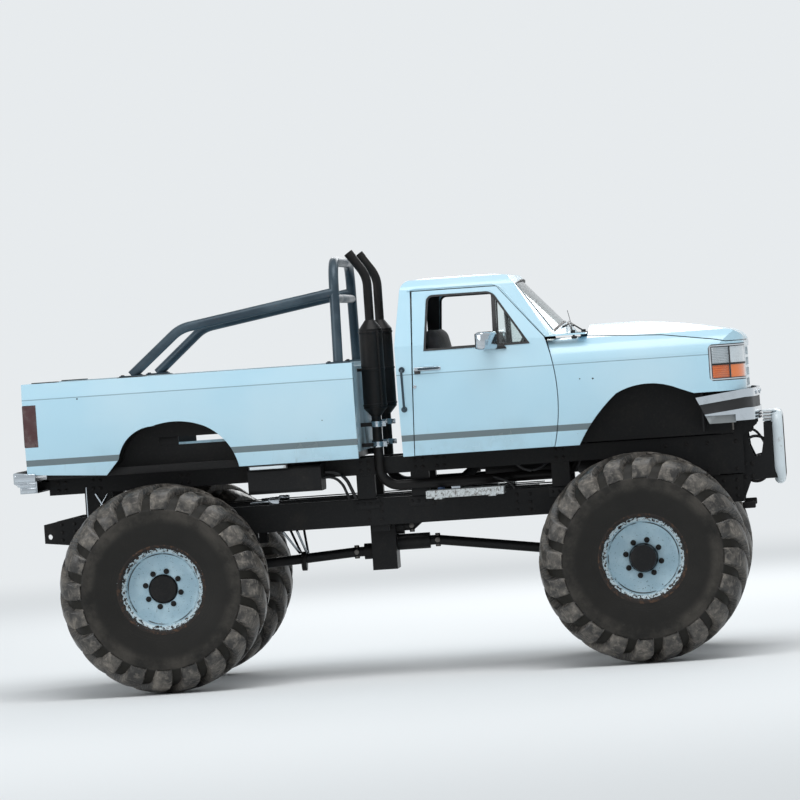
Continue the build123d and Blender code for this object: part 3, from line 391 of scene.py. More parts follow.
frontAxle = (1.835, 0.8)
rearAxle = (-1.835, 0.8)
finishes = {
    "paint": makeBodyPaint(),
    "white": makeWhitePaint(),
    "chassis": makeChassisBlack("chassisBlack", (0.0065, 0.0068, 0.0075, 1), (0.060, 0.052, 0.043, 1), 0.26),
    "steel": makeChassisBlack("sootySteel", (0.0085, 0.008, 0.008, 1), (0.045, 0.034, 0.028, 1), 0.30),
    "spring": makeMetal("springSteel", (0.16, 0.15, 0.14, 1), 0.45, 0.8, (0.07, 0.045, 0.03, 1)),
    "bar": makeBarSteel(),
    "bezel": makeBezelChrome(),
    "chrome": makeMetal("chromeTrim", (0.55, 0.60, 0.645, 1), 0.07, 0.30, (0.13, 0.12, 0.11, 1)),
    "frontTyre": makeTyreWall("tyreRubberFront", frontAxle),
    "rearTyre": makeTyreWall("tyreRubberRear", rearAxle),
    "lug": makeLugRubber(),
    "frontRim": makeRimPaint("rimPaintFront", frontAxle, 0.24),
    "rearRim": makeRimPaint("rimPaintRear", rearAxle, 0.20),
    "glass": makeGlass(),
    "clearLens": makeLens("clearLens", (0.62, 0.69, 0.73, 1), (0.22, 0.26, 0.29, 1), 900.0, 2.582),
    "amberLens": makeLens("amberLens", (0.85, 0.20, 0.025, 1), (0.45, 0.055, 0.008, 1), 700.0, 2.582),
    "redLens": makeLens("redLens", (0.050, 0.002, 0.004, 1), (0.028, 0.002, 0.003, 1), 420.0, -9.0),
    "black": makePlastic("blackPlastic", (0.012, 0.012, 0.013, 1), 0.5, 900.0),
    "grey": makePlastic("greyPlastic", (0.21, 0.225, 0.23, 1), 0.55, 700.0),
    "liner": makeLinerPaint(),
    "undercoat": makeChassisBlack("undercoat", (0.008, 0.008, 0.0085, 1), (0.055, 0.048, 0.040, 1), 0.3),
    "trim": makeCabinTrim(),
    "blueCap": makePlastic("blueCap", (0.03, 0.07, 0.16, 1), 0.35, 500.0),
    "tread": makeTreadPlate(),
    "cloth": makeSeatCloth(),
}
print("finishes made")

# Which finish each CAD node takes; those that a modelled piece or a dressed copy replaces get theirs there
nodeFinishes = {
    "paint": ["bed", "cab", "door_left", "door_right", "fenders", "hood", "tailgate"],
    "white": ["push_bar", "grille"],
    "chassis": ["body_frame_rails", "bumper_brackets", "chassis_members", "chassis_rails", "front_axle",
                "rear_axle", "knuckle_left", "knuckle_right", "tie_rod", "fuel_tank", "drive_line",
                "engine_bay_panels", "hub_front_left", "hub_front_right", "hub_rear_left", "hub_rear_right"],
    "steel": ["exhaust_stacks", "engine", "shock_absorbers"],
    "spring": ["leaf_springs"],
    "bar": ["roll_bar"],
    "bezel": ["lamp_bezels"],
    "chrome": ["bumpers", "mirror_left", "mirror_right"],
    "glass": ["cab_glass", "door_glass_left", "door_glass_right"],
    "clearLens": ["headlamps"],
    "amberLens": ["turn_lamps"],
    "redLens": ["tail_lamps"],
    "black": ["dashboard", "steering_wheel"],
    "grey": ["front_valance"],
    "tread": ["step_plates"],
    "cloth": ["seat"],
    "frontTyre": ["tyre_front_left", "tyre_front_right"],
    "rearTyre": ["tyre_rear_left", "tyre_rear_right"],
    "frontRim": ["rim_front_left", "rim_front_right"],
    "rearRim": ["rim_rear_left", "rim_rear_right"],
}
for finishName, names in nodeFinishes.items():
    for name in names:
        for materialSlot in nodes[name].material_slots:
            materialSlot.material = finishes[finishName]


# A slot name for each finish; finished() looks it up for modelled pieces and does nothing further with it
slots = {
    "paint": "body_paint", "liner": "body_paint", "white": "white_paint", "chassis": "black_chassis",
    "undercoat": "black_chassis", "steel": "black_steel", "spring": "spring_steel", "bar": "bar_steel",
    "chrome": "chrome_trim", "black": "black_plastic", "trim": "black_plastic", "blueCap": "black_plastic",
    "cloth": "seat_cloth",
}


# Modelling
def clearSelection():
    if bpy.context.mode != "OBJECT":
        bpy.ops.object.mode_set(mode="OBJECT")
    bpy.ops.object.select_all(action="DESELECT")


def activate(piece):
    clearSelection()
    piece.select_set(True)
    bpy.context.view_layer.objects.active = piece


def editAll(piece):
    activate(piece)
    bpy.ops.object.mode_set(mode="EDIT")
    bpy.ops.mesh.select_all(action="SELECT")


def closeEdit():  # all faces turned outwards, back in object mode
    bpy.ops.mesh.select_all(action="SELECT")
    bpy.ops.mesh.normals_make_consistent(inside=False)
    bpy.ops.object.mode_set(mode="OBJECT")


def chain(name, points):  # a line of edges through the points, each vertex extruded from the one before
    clearSelection()
    bpy.ops.mesh.primitive_plane_add(size=0.01)
    piece = bpy.context.object
    piece.name = name
    bpy.ops.object.mode_set(mode="EDIT")
    bpy.ops.mesh.merge(type="CENTER")
    bpy.ops.transform.translate(value=points[0])
    for before, after in zip(points, points[1:]):
        step = [b - a for a, b in zip(before, after)]
        bpy.ops.mesh.extrude_vertices_move(TRANSFORM_OT_translate={"value": step})
    return piece


def turned(name, outline, centre, steps=72, closed=True):  # outline of (radius, y) spun round an axle line
    points = [(centre[0], y, centre[1] + radius) for radius, y in outline]
    piece = chain(name, points)
    bpy.ops.mesh.select_all(action="SELECT")
    if closed:
        bpy.ops.mesh.edge_face_add()
        bpy.ops.mesh.delete(type="ONLY_FACE")
        bpy.ops.mesh.select_all(action="SELECT")
    bpy.ops.mesh.spin(steps=steps, angle=math.tau, center=(centre[0], 0, centre[1]), axis=(0, 1, 0))
    bpy.ops.mesh.select_all(action="SELECT")
    bpy.ops.mesh.remove_doubles(threshold=0.00002)
    closeEdit()
    return piece


def slab(name, corners, step):  # a face through the corners, extruded by step
    piece = chain(name, corners)
    bpy.ops.mesh.select_all(action="SELECT")
    bpy.ops.mesh.edge_face_add()
    bpy.ops.mesh.extrude_region_move(TRANSFORM_OT_translate={"value": step})
    closeEdit()
    return piece


def brick(name, low, high):
    clearSelection()
    centre = [(a + b) / 2 for a, b in zip(low, high)]
    size = [b - a for a, b in zip(low, high)]
    bpy.ops.mesh.primitive_cube_add(size=1, location=centre, scale=size)
    bpy.context.object.name = name
    return bpy.context.object


def bar(name, start, end, radius, sides=16):
    clearSelection()
    along = Vector(end) - Vector(start)
    turn = along.to_track_quat("Z", "Y").to_euler()
    middle = (Vector(start) + Vector(end)) / 2
    bpy.ops.mesh.primitive_cylinder_add(vertices=sides, radius=radius, depth=along.length, location=middle,
                                        rotation=turn)
    bpy.context.object.name = name
    return bpy.context.object


def pipe(name, points, radius, bend=0.05, sides=6):  # a round bar along the points, its corners rounded
    piece = chain(name, points)
    if len(points) > 2:
        bpy.ops.mesh.select_all(action="SELECT")
        bpy.ops.mesh.bevel(offset=bend, segments=6, affect="VERTICES")
    bpy.ops.object.mode_set(mode="OBJECT")
    bpy.ops.object.convert(target="CURVE")
    piece = bpy.context.object
    piece.data.bevel_depth = radius
    piece.data.bevel_resolution = sides // 2
    piece.data.use_fill_caps = True
    bpy.ops.object.convert(target="MESH")
    return bpy.context.object


def copied(piece, name, matrix):
    twin = piece.copy()
    twin.data = piece.data.copy()
    twin.name = name
    bpy.context.scene.collection.objects.link(twin)
    twin.data.transform(matrix)
    if matrix.determinant() < 0:
        twin.data.flip_normals()
    return twin


def mirrored(piece, name):
    return copied(piece, name, Matrix.Diagonal((1, -1, 1, 1)))


def joined(pieces, name):
    clearSelection()
    for piece in pieces:
        piece.select_set(True)
    bpy.context.view_layer.objects.active = pieces[0]
    bpy.ops.object.join()
    bpy.context.object.name = name
    return bpy.context.object


def shaped(piece, kind, settings):  # a modifier with these settings, applied
    activate(piece)
    modifier = piece.modifiers.new("shaping", kind)
    for name, value in settings.items():
        setattr(modifier, name, value)
    bpy.ops.object.modifier_apply(modifier=modifier.name)
    return piece


def rounded(piece, width, segments=2, angle=30):
    activate(piece)
    bpy.ops.object.transform_apply(location=True, rotation=True, scale=True)
    return shaped(piece, "BEVEL", {"width": width, "segments": segments, "limit_method": "ANGLE",
                                   "angle_limit": math.radians(angle)})


def block(name, low, high, width, segments=2):
    return rounded(brick(name, low, high), width, segments)


def rod(name, start, end, radius, sides, width, segments=2):
    return rounded(bar(name, start, end, radius, sides), width, segments)


def loop(name, points, radius, bend=0.03):  # a closed bead through the points, its corners rounded
    piece = chain(name, points)
    bpy.ops.mesh.select_all(action="DESELECT")
    bpy.ops.object.mode_set(mode="OBJECT")
    piece.data.vertices[0].select = True
    piece.data.vertices[-1].select = True
    bpy.ops.object.mode_set(mode="EDIT")
    bpy.ops.mesh.edge_face_add()
    bpy.ops.mesh.select_all(action="SELECT")
    bpy.ops.mesh.bevel(offset=bend, segments=5, affect="VERTICES")
    bpy.ops.object.mode_set(mode="OBJECT")
    bpy.ops.object.convert(target="CURVE")
    piece = bpy.context.object
    piece.data.bevel_depth = radius
    piece.data.bevel_resolution = 3
    bpy.ops.object.convert(target="MESH")
    return bpy.context.object


def opened(piece, direction, rim, depth):  # the end that faces the direction becomes a rim round a bore
    activate(piece)
    bpy.ops.object.transform_apply(location=True, rotation=True, scale=True)
    bpy.ops.object.mode_set(mode="EDIT")
    bpy.ops.mesh.select_all(action="DESELECT")
    bpy.ops.object.mode_set(mode="OBJECT")
    aim = Vector(direction).normalized()
    for face in piece.data.polygons:
        face.select = face.normal.dot(aim) > 0.99
    bpy.ops.object.mode_set(mode="EDIT")
    bpy.ops.mesh.inset(thickness=rim)
    bpy.ops.mesh.extrude_region_move(TRANSFORM_OT_translate={"value": aim * -depth})
    bpy.ops.object.mode_set(mode="OBJECT")
    return piece


def hexBolt(place, direction, radius=0.012, height=0.010):  # a washer with a six-sided head on it
    along = Vector(direction).normalized()
    start = Vector(place)
    washer = rod("washer", start - along * 0.001, start + along * height * 0.3, radius * 1.35, 16, 0.0008, 1)
    head = rod("head", start, start + along * height, radius, 6, radius * 0.12)
    return joined([washer, head], "bolt")


def boltRow(name, places, direction, radius=0.012, height=0.010):
    model = hexBolt((0, 0, 0), direction, radius, height)
    row = joined([copied(model, name, Matrix.Translation(place)) for place in places], name)
    bpy.data.objects.remove(model)
    return row


def dressed(node, body, finishNames, pick):  # a copy whose faces take several finishes
    piece = nodes[node].copy()
    piece.data = nodes[node].data.copy()
    piece.name = f"{node}_dressed"
    piece.parent = None
    bpy.context.scene.collection.objects.link(piece)
    piece.data.materials.clear()
    for finishName in finishNames:
        piece.data.materials.append(finishes[finishName])
    for face in piece.data.polygons:
        face.material_index = pick(face.center, face.normal)
    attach(piece, body)
    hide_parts(node)
    return piece


def bothSides(piece, name, finish, bodies=("root", "root")):  # the right one and its mirror
    activate(piece)
    bpy.ops.object.transform_apply(location=True, rotation=True, scale=True)
    left = mirrored(piece, f"{name}_left")
    piece.name = f"{name}_right"
    finished(piece, finish, bodies[0])
    finished(left, finish, bodies[1])


def finished(piece, finish, body="root", slot=None, smooth=35):
    activate(piece)
    bpy.ops.object.transform_apply(location=True, rotation=True, scale=True)
    bpy.ops.object.shade_smooth_by_angle(angle=math.radians(smooth))
    piece.data.materials.clear()
    piece.data.materials.append(finishes[finish])
    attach(piece, body)
    slot = slot or slots[finish]
    return piece


# Tyres: a carcass with a crowned tread, and lugs that sweep forward from the shoulder to the middle
tyreSizes = {
    "halfTrack": 1.0, "lugs": 20,
    "carcass": [(0.3305, 0.241), (0.338, 0.254), (0.372, 0.262), (0.43, 0.276), (0.50, 0.288),
                (0.57, 0.2945), (0.604, 0.2945), (0.611, 0.2925), (0.616, 0.2875), (0.652, 0.272),
                (0.692, 0.245), (0.721, 0.205), (0.741, 0.14), (0.750, 0.07), (0.751, 0.0)],
    # station: y from the middle, lug's top radius, bar's middle and half width round the tread at its top
    "stations": [(-0.018, 0.800, 0.280, 0.036), (0.05, 0.800, 0.232, 0.044), (0.10, 0.797, 0.187, 0.048),
                 (0.15, 0.791, 0.139, 0.053), (0.20, 0.779, 0.092, 0.059), (0.24, 0.760, 0.056, 0.067),
                 (0.270, 0.727, 0.034, 0.074), (0.289, 0.680, 0.026, 0.068), (0.2965, 0.612, 0.022, 0.060)],
    "draft": 0.015, "tread": 0.8,
}


def carcassRadius(y):
    outline = sorted((side, radius) for radius, side in tyreSizes["carcass"] if radius > 0.60)
    for (lowY, lowR), (highY, highR) in zip(outline, outline[1:]):
        if lowY <= y <= highY:
            return lowR + (highR - lowR) * (y - lowY) / max(highY - lowY, 1e-6)
    return outline[0][1] if y < outline[0][0] else outline[-1][1]


def makeLug():
    stations = tyreSizes["stations"]
    clearSelection()
    bpy.ops.mesh.primitive_grid_add(x_subdivisions=len(stations) - 1, y_subdivisions=3, size=1)
    lug = bpy.context.object
    rows = sorted({round(v.co.x, 4) for v in lug.data.vertices})
    columns = sorted({round(v.co.y, 4) for v in lug.data.vertices})
    for v in lug.data.vertices:
        side, top, middle, half = stations[rows.index(round(v.co.x, 4))]
        column = columns.index(round(v.co.y, 4))
        across = (-1, -1, 1, 1)[column] * half
        radius = top
        if column in (0, 3):
            across *= 1 + tyreSizes["draft"] / half
            radius = min(carcassRadius(abs(side)) - 0.004, top - 0.004)
        angle = (middle + across) / tyreSizes["tread"]
        v.co = (radius * math.sin(angle), side, radius * math.cos(angle))
    editAll(lug)
    bpy.ops.mesh.select_all(action="DESELECT")
    bpy.ops.mesh.select_non_manifold()
    bpy.ops.mesh.edge_face_add()
    closeEdit()
    return rounded(lug, 0.006, 2, 38)


def makeTyre():
    outline = tyreSizes["carcass"]
    ring = outline + [(radius, -side) for radius, side in reversed(outline[:-1])]
    tyre = turned("tyre", ring, (0, 0), 120, closed=False)
    tyre.data.materials.append(finishes["frontTyre"])
    lug = makeLug()
    lug.data.materials.append(finishes["lug"])
    pitch = math.tau / tyreSizes["lugs"]
    parts = [tyre]
    for count in range(tyreSizes["lugs"]):
        outward = Matrix.Rotation(count * pitch, 4, "Y")
        inward = Matrix.Rotation((count + 0.5) * pitch, 4, "Y") @ Matrix.Diagonal((1, -1, 1, 1))
        parts.append(copied(lug, f"lugOut{count}", outward))
        parts.append(copied(lug, f"lugIn{count}", inward))
    bpy.data.objects.remove(lug)
    return joined(parts, "tyreModel")


# Rims: lip, bead seat, drop centre and a dished disc
rimSizes = {
    "outline": [(0.3465, 0.2505), (0.3455, 0.2545), (0.340, 0.2555), (0.330, 0.2545), (0.321, 0.249),
                (0.318, 0.240), (0.316, 0.205), (0.306, 0.190), (0.288, 0.178), (0.280, 0.168),
                (0.276, 0.150), (0.272, 0.128), (0.262, 0.121), (0.235, 0.1205), (0.170, 0.1205),
                (0.1205, 0.120), (0.1105, 0.1165), (0.1105, 0.109), (0.20, 0.108), (0.268, 0.108),
                (0.268, -0.12), (0.30, -0.16), (0.318, -0.20), (0.318, -0.243), (0.3465, -0.2555),
                (0.3465, -0.243), (0.330, -0.243), (0.330, 0.243), (0.3465, 0.243)],
    "nutCircle": 0.137, "nutRadius": 0.0195, "nuts": 8, "nutTurn": 13.8, "nutHeight": 0.017,
    "studRadius": 0.009,
    "studHeight": 0.023, "washerRadius": 0.0215, "face": 0.1205,
}


def makeRim():
    return rounded(turned("rimModel", rimSizes["outline"], (0, 0), 96), 0.002, 1, 50)


def makeNuts():
    parts = []
    base = rimSizes["face"]
    for count in range(rimSizes["nuts"]):
        angle = math.radians(rimSizes["nutTurn"] + 45 * count)
        x = rimSizes["nutCircle"] * math.sin(angle)
        z = rimSizes["nutCircle"] * math.cos(angle)
        nutEnd, studEnd = (x, base + rimSizes["nutHeight"], z), (x, base + rimSizes["studHeight"], z)
        parts.append(rod("nut", (x, base, z), nutEnd, rimSizes["nutRadius"], 6, 0.0025))
        parts.append(rod("stud", (x, base, z), studEnd, rimSizes["studRadius"], 12, 0.002, 1))
        parts.append(bar("washer", (x, base - 0.001, z), (x, base + 0.003, z), rimSizes["washerRadius"], 20))
    return joined(parts, "nutsModel")


def shownWheelPiece(model, name, outward, body, materials, replaced=None):
    piece = copied(model, name, outward)
    activate(piece)
    bpy.ops.object.shade_smooth_by_angle(angle=math.radians(40))
    while len(piece.data.materials) < len(materials):
        piece.data.materials.append(None)
    for index, finishName in enumerate(materials):
        piece.data.materials[index] = finishes[finishName]
    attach(piece, body)
    if replaced:
        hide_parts(replaced)


def makeWheels():
    tyre = makeTyre()
    rim = makeRim()
    nuts = makeNuts()
    for axle, x in (("front", frontAxle[0]), ("rear", rearAxle[0])):
        for side, sign in (("right", -1), ("left", 1)):
            place = Matrix.Translation((x, sign * tyreSizes["halfTrack"], frontAxle[1]))
            outward = place @ Matrix.Diagonal((1, sign, 1, 1))
            corner = f"{axle}_{side}"
            body = f"wheel_{corner}"
            shownWheelPiece(tyre, f"tyre_lugged_{corner}", outward, body,
                            [f"{axle}Tyre", "lug"],
                            f"tyre_{corner}")
            shownWheelPiece(rim, f"rim_turned_{corner}", outward, body, [f"{axle}Rim"],
                            f"rim_{corner}")
            shownWheelPiece(nuts, f"wheel_nuts_{corner}", outward, body, ["steel"])
    for model in (tyre, rim, nuts):
        bpy.data.objects.remove(model)
    print("wheels made")


makeWheels()


# Panels: painted outside, with undercoat below and in the arches, and trim in the cab
panels = {
    "archCentre": (-1.72, 1.66), "archReach": 0.60, "flankInside": 0.955, "bedInside": 0.815,
    "floorTop": 1.78, "cabMiddle": (0.68, 0.0, 2.34), "cabInside": 0.955, "sill": 1.70,
}


def bedFace(centre, normal):  # 0 paint, 1 undercoat, 2 liner paint
    side = abs(centre.y)
    archX, archZ = panels["archCentre"]
    inward = (archX - centre.x) * normal.x + (archZ - centre.z) * normal.z
    reach = math.hypot(centre.x - panels["archCentre"][0], centre.z - panels["archCentre"][1])
    if reach < panels["archReach"] and side < panels["flankInside"] and centre.z > 1.70:
        facesOut = normal.y * centre.y > 0.5 * side
        if facesOut and side < 0.70 or inward > 0.02 and abs(normal.y) < 0.4:
            return 1
    if normal.z < -0.3 and side < panels["flankInside"] and centre.z < 1.80:
        return 1
    if centre.z < 1.745 and side < 0.9 and abs(normal.z) < 0.5:
        return 1
    if side < panels["bedInside"] and centre.z > panels["floorTop"] - 0.005 and centre.z < 2.42:
        return 2
    return 0


def cabFace(centre, normal):  # 0 paint, 1 undercoat, 2 trim
    away = centre - Vector(panels["cabMiddle"])
    if normal.z < -0.5 and centre.z < panels["sill"]:
        return 1
    if 0.09 < centre.x < 1.42 and abs(centre.y) < panels["cabInside"] and away.dot(normal) < 0:
        return 2
    return 0


def doorFace(centre, normal):
    return 1 if normal.y * centre.y < -0.4 * abs(centre.y) else 0


def fenderFace(centre, normal):
    inner = normal.y * centre.y < -0.25 * abs(centre.y) or normal.z < -0.5
    return 1 if inner else 0


def hoodFace(centre, normal):
    return 1 if normal.z < -0.2 else 0


def bumperFace(centre, normal):  # 0 chrome, 1 black: a band across the front that paints the ground's reflection into the chrome, and the pad behind
    share = min(1.0, (centre.x - 2.27) / 0.41)
    # painted reflection: faces in this band turn black where the chrome would show the dark ground
    if centre.x > 2.26 and 1.842 + 0.042 * share < centre.z < 1.912 + 0.046 * share:
        return 1
    return 1 if centre.x < -2.80 and normal.z > 0.6 and centre.z > 1.735 else 0


def dressPanels():
    dressed("bed", "root", ["paint", "undercoat", "liner"], bedFace)
    dressed("cab", "root", ["paint", "undercoat", "trim"], cabFace)
    dressed("fenders", "root", ["paint", "undercoat"], fenderFace)
    dressed("hood", "hood", ["paint", "undercoat"], hoodFace)
    dressed("bumpers", "root", ["chrome", "black"], bumperFace)
    for side in ("right", "left"):
        dressed(f"door_{side}", f"door_{side}", ["paint", "trim"], doorFace)
    print("panels dressed")


dressPanels()


# The body side as seen from the front: height, and how far out the skin is
sideLine = [(1.68, 0.958), (1.84, 0.9805), (2.0, 0.995), (2.155, 1.0015), (2.31, 1.003), (2.52, 0.968),
            (2.95, 0.800)]


def skinAt(z):
    for (lowZ, lowY), (highZ, highY) in zip(sideLine, sideLine[1:]):
        if z <= highZ:
            return lowY + (highY - lowY) * (z - lowZ) / (highZ - lowZ)
    return sideLine[-1][1]


def onSide(x, z, proud=0.0):
    return (x, -skinAt(z) - proud, z)


doors = {
    "window": [(0.262, 2.474), (0.300, 2.898), (0.803, 2.898), (1.076, 2.480)], "seal": 0.016,
    "corner": 0.050,
    "post": 0.812, "postHalf": 0.016, "vent": [(0.836, 2.486), (0.836, 2.862), (1.052, 2.486)],
    "handle": (0.180, 0.386, 2.338), "lock": (0.180, 2.207),
    "drip": [(0.158, 2.936), (0.176, 2.950), (0.848, 2.950), (1.020, 2.742), (1.196, 2.530)],
}


def windowFace(name, proud):  # a face with the window's rounded corners, left in edit mode
    piece = chain(name, [onSide(x, z, proud) for x, z in doors["window"]])
    bpy.ops.mesh.select_all(action="SELECT")
    bpy.ops.mesh.bevel(offset=doors["corner"], segments=6, affect="VERTICES")
    bpy.ops.mesh.select_all(action="SELECT")
    bpy.ops.mesh.edge_face_add()
    return piece


def trimDoors():
    bodies = ("door_right", "door_left")
    corners = slab("corners", [onSide(x, z, 0.001) for x, z in doors["window"]], (0, 0.022, 0))
    cutter = windowFace("cutter", 0.030)
    bpy.ops.mesh.extrude_region_move(TRANSFORM_OT_translate={"value": (0, 0.080, 0)})
    closeEdit()
    shaped(corners, "BOOLEAN", {"operation": "DIFFERENCE", "object": cutter})
    activate(cutter)
    bpy.ops.object.delete()
    bothSides(corners, "window_corners", "paint", bodies)
    bead = windowFace("windowSeal", 0.004)
    bpy.ops.mesh.inset(thickness=doors["seal"], use_boundary=True)
    bpy.ops.object.mode_set(mode="OBJECT")
    largest = max(bead.data.polygons, key=lambda face: face.area)
    for face in bead.data.polygons:
        face.select = face.index == largest.index
    bpy.ops.object.mode_set(mode="EDIT")
    bpy.ops.mesh.delete(type="FACE")
    bpy.ops.mesh.select_all(action="SELECT")
    bpy.ops.mesh.extrude_region_move(TRANSFORM_OT_translate={"value": (0, 0.020, 0)})
    closeEdit()
    bothSides(bead, "window_seal", "black", bodies)
    vent = loop("ventSeal", [onSide(x, z, -0.012) for x, z in doors["vent"]], 0.0065, 0.02)
    bothSides(vent, "vent_seal", "black", bodies)
    low, high = doors["window"][0][1], doors["window"][1][1]
    left, right = doors["post"] - doors["postHalf"], doors["post"] + doors["postHalf"]
    corners = [onSide(left, low), onSide(right, low), onSide(right, high), onSide(left, high)]
    post = rounded(slab("post", corners, (0, 0.022, 0)), 0.003)
    bothSides(post, "vent_post", "black", bodies)
    start, end, z = doors["handle"]
    plate = rounded(slab("plate", [onSide(start, z - 0.014), onSide(end, z - 0.012), onSide(end, z + 0.012),
                                   onSide(start, z + 0.016)], (0, -0.006, 0)), 0.004, 3)
    lever = pipe("lever", [onSide(start + 0.035, z, 0.0), onSide(start + 0.040, z + 0.002, 0.030),
                           onSide(end - 0.022, z + 0.004, 0.030), onSide(end - 0.016, z + 0.003, 0.0)],
                           0.0075, 0.014)
    bothSides(plate, "handle_plate", "chrome", bodies)
    bothSides(lever, "handle_lever", "bar", bodies)
    cup = rounded(slab("cup", [onSide(start + 0.004, z - 0.034), onSide(start + 0.050, z - 0.034),
                               onSide(start + 0.050, z - 0.014), onSide(start + 0.004, z - 0.012)],
                               (0, -0.012, 0)), 0.004, 3)
    bothSides(cup, "handle_cup", "black", bodies)
    pad = rounded(slab("pad", [onSide(start + 0.072, z + 0.014), onSide(start + 0.160, z + 0.012),
                               onSide(start + 0.150, z + 0.028), onSide(start + 0.080, z + 0.028)],
                               (0, -0.008, 0)), 0.003, 3)
    bothSides(pad, "handle_pad", "paint", bodies)
    x, z = doors["lock"]
    barrel = rod("lock", onSide(x, z, -0.004), onSide(x, z, 0.006), 0.014, 24, 0.003, 3)
    slot = block("slot", (x - 0.0016, -skinAt(z) - 0.0075, z - 0.006),
                 (x + 0.0016, -skinAt(z) - 0.005, z + 0.006), 0.0004, 1)
    bothSides(joined([barrel, slot], "lock"), "door_lock", "chrome", bodies)
    drip = pipe("drip", [onSide(x, z, 0.001) for x, z in doors["drip"]], 0.0065, 0.05)
    bothSides(drip, "drip_rail", "paint")
    rest = block("rest", (0.34, -0.945, 2.17), (0.86, -0.86, 2.235), 0.018, 4)
    grip = pipe("grip", [(0.62, -0.944, 2.30), (0.63, -0.905, 2.31), (0.82, -0.905, 2.33),
                         (0.83, -0.944, 2.32)], 0.010, 0.02)
    pocket = block("pocket", (0.36, -0.944, 1.83), (0.98, -0.905, 1.95), 0.014, 3)
    bothSides(joined([rest, grip, pocket], "doorTrim"), "door_trim", "trim", bodies)
    crank = pipe("crank", [(0.46, -0.944, 2.33), (0.46, -0.915, 2.33), (0.55, -0.910, 2.36),
                           (0.55, -0.880, 2.36)], 0.007, 0.012)
    bothSides(crank, "window_crank", "chrome", bodies)
    print("doors trimmed")


def paneBorder(node, name, width, thickness, body):  # a rubber border round each pane, on its outer face
    activate(nodes[node])
    piece = copied(nodes[node], name, Matrix.Identity(4))
    piece.parent = None
    editAll(piece)
    bpy.ops.mesh.remove_doubles(threshold=0.00002)
    bpy.ops.mesh.select_mode(type="FACE")
    bpy.ops.mesh.select_all(action="DESELECT")
    bpy.ops.object.mode_set(mode="OBJECT")
    middle = Vector(windshield["inside"])
    for face in piece.data.polygons:
        away = (face.center - middle).normalized()
        face.select = face.normal.dot(away) < 0.25
    bpy.ops.object.mode_set(mode="EDIT")
    bpy.ops.mesh.delete(type="FACE")
    bpy.ops.mesh.select_all(action="SELECT")
    bpy.ops.mesh.dissolve_limited(angle_limit=math.radians(0.6))
    bpy.ops.mesh.inset(thickness=width, use_boundary=True, use_even_offset=True)
    bpy.ops.mesh.delete(type="FACE")
    bpy.ops.mesh.select_mode(type="VERT")
    bpy.ops.object.mode_set(mode="OBJECT")
    shaped(piece, "SOLIDIFY", {"thickness": thickness, "offset": 0.6})
    return finished(piece, "black", body, smooth=40)


mirrors = {
    "centre": (0.755, -1.130, 2.522), "size": (0.080, 0.226, 0.138), "turn": -28.0,
    "foot": [(0.715, -0.972, 2.452), (0.900, -0.972, 2.452), (0.880, -0.980, 2.480), (0.725, -0.980, 2.484)],
    "arm": [(0.735, -0.985, 2.455), (0.815, -0.985, 2.455), (0.790, -1.080, 2.470), (0.745, -1.080, 2.470)],
}


def makeMirrors():
    centre = Vector(mirrors["centre"])
    half = Vector(mirrors["size"]) / 2
    spin = Matrix.Rotation(math.radians(mirrors["turn"]), 4, "Z")
    turn = Matrix.Translation(centre) @ spin @ Matrix.Translation(-centre)
    shell = block("shell", centre - half, centre + half, 0.028, 5)
    shell.data.transform(turn)
    rim = brick("rim", (centre.x - half.x - 0.005, centre.y - half.y + 0.012, centre.z - half.z + 0.010),
                (centre.x - half.x + 0.014, centre.y + half.y - 0.012, centre.z + half.z - 0.010))
    rim = opened(rounded(rim, 0.016, 4), (-1, 0, 0), 0.007, 0.003)
    rim.data.transform(turn)
    foot = slab("foot", mirrors["foot"], (0, -0.022, 0))
    arm = slab("arm", mirrors["arm"], (0, 0, 0.020))
    black = joined([rim, rounded(foot, 0.006, 3), rounded(arm, 0.005, 3)], "black")
    for piece, name, finish in ((shell, "mirror_shell", "chrome"), (black, "mirror_mount", "black")):
        left = mirrored(piece, f"{name}_left")
        piece.name = f"{name}_right"
        for side, part in (("right", piece), ("left", left)):
            finished(part, finish, f"door_{side}", smooth=40)
            if piece is shell:
                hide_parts(f"mirror_{side}")


windshield = {"middle": (2.480, 1.462, -0.917), "ends": (2.480, 1.262, -0.638), "half": 0.97,
              "inside": (0.68, 0.0, 2.2)}


def glassAt(y, z):  # how far forward the windshield is
    middle = windshield["middle"][1] + windshield["middle"][2] * (z - windshield["middle"][0])
    ends = windshield["ends"][1] + windshield["ends"][2] * (z - windshield["ends"][0])
    return middle - (middle - ends) * (y / windshield["half"]) ** 2


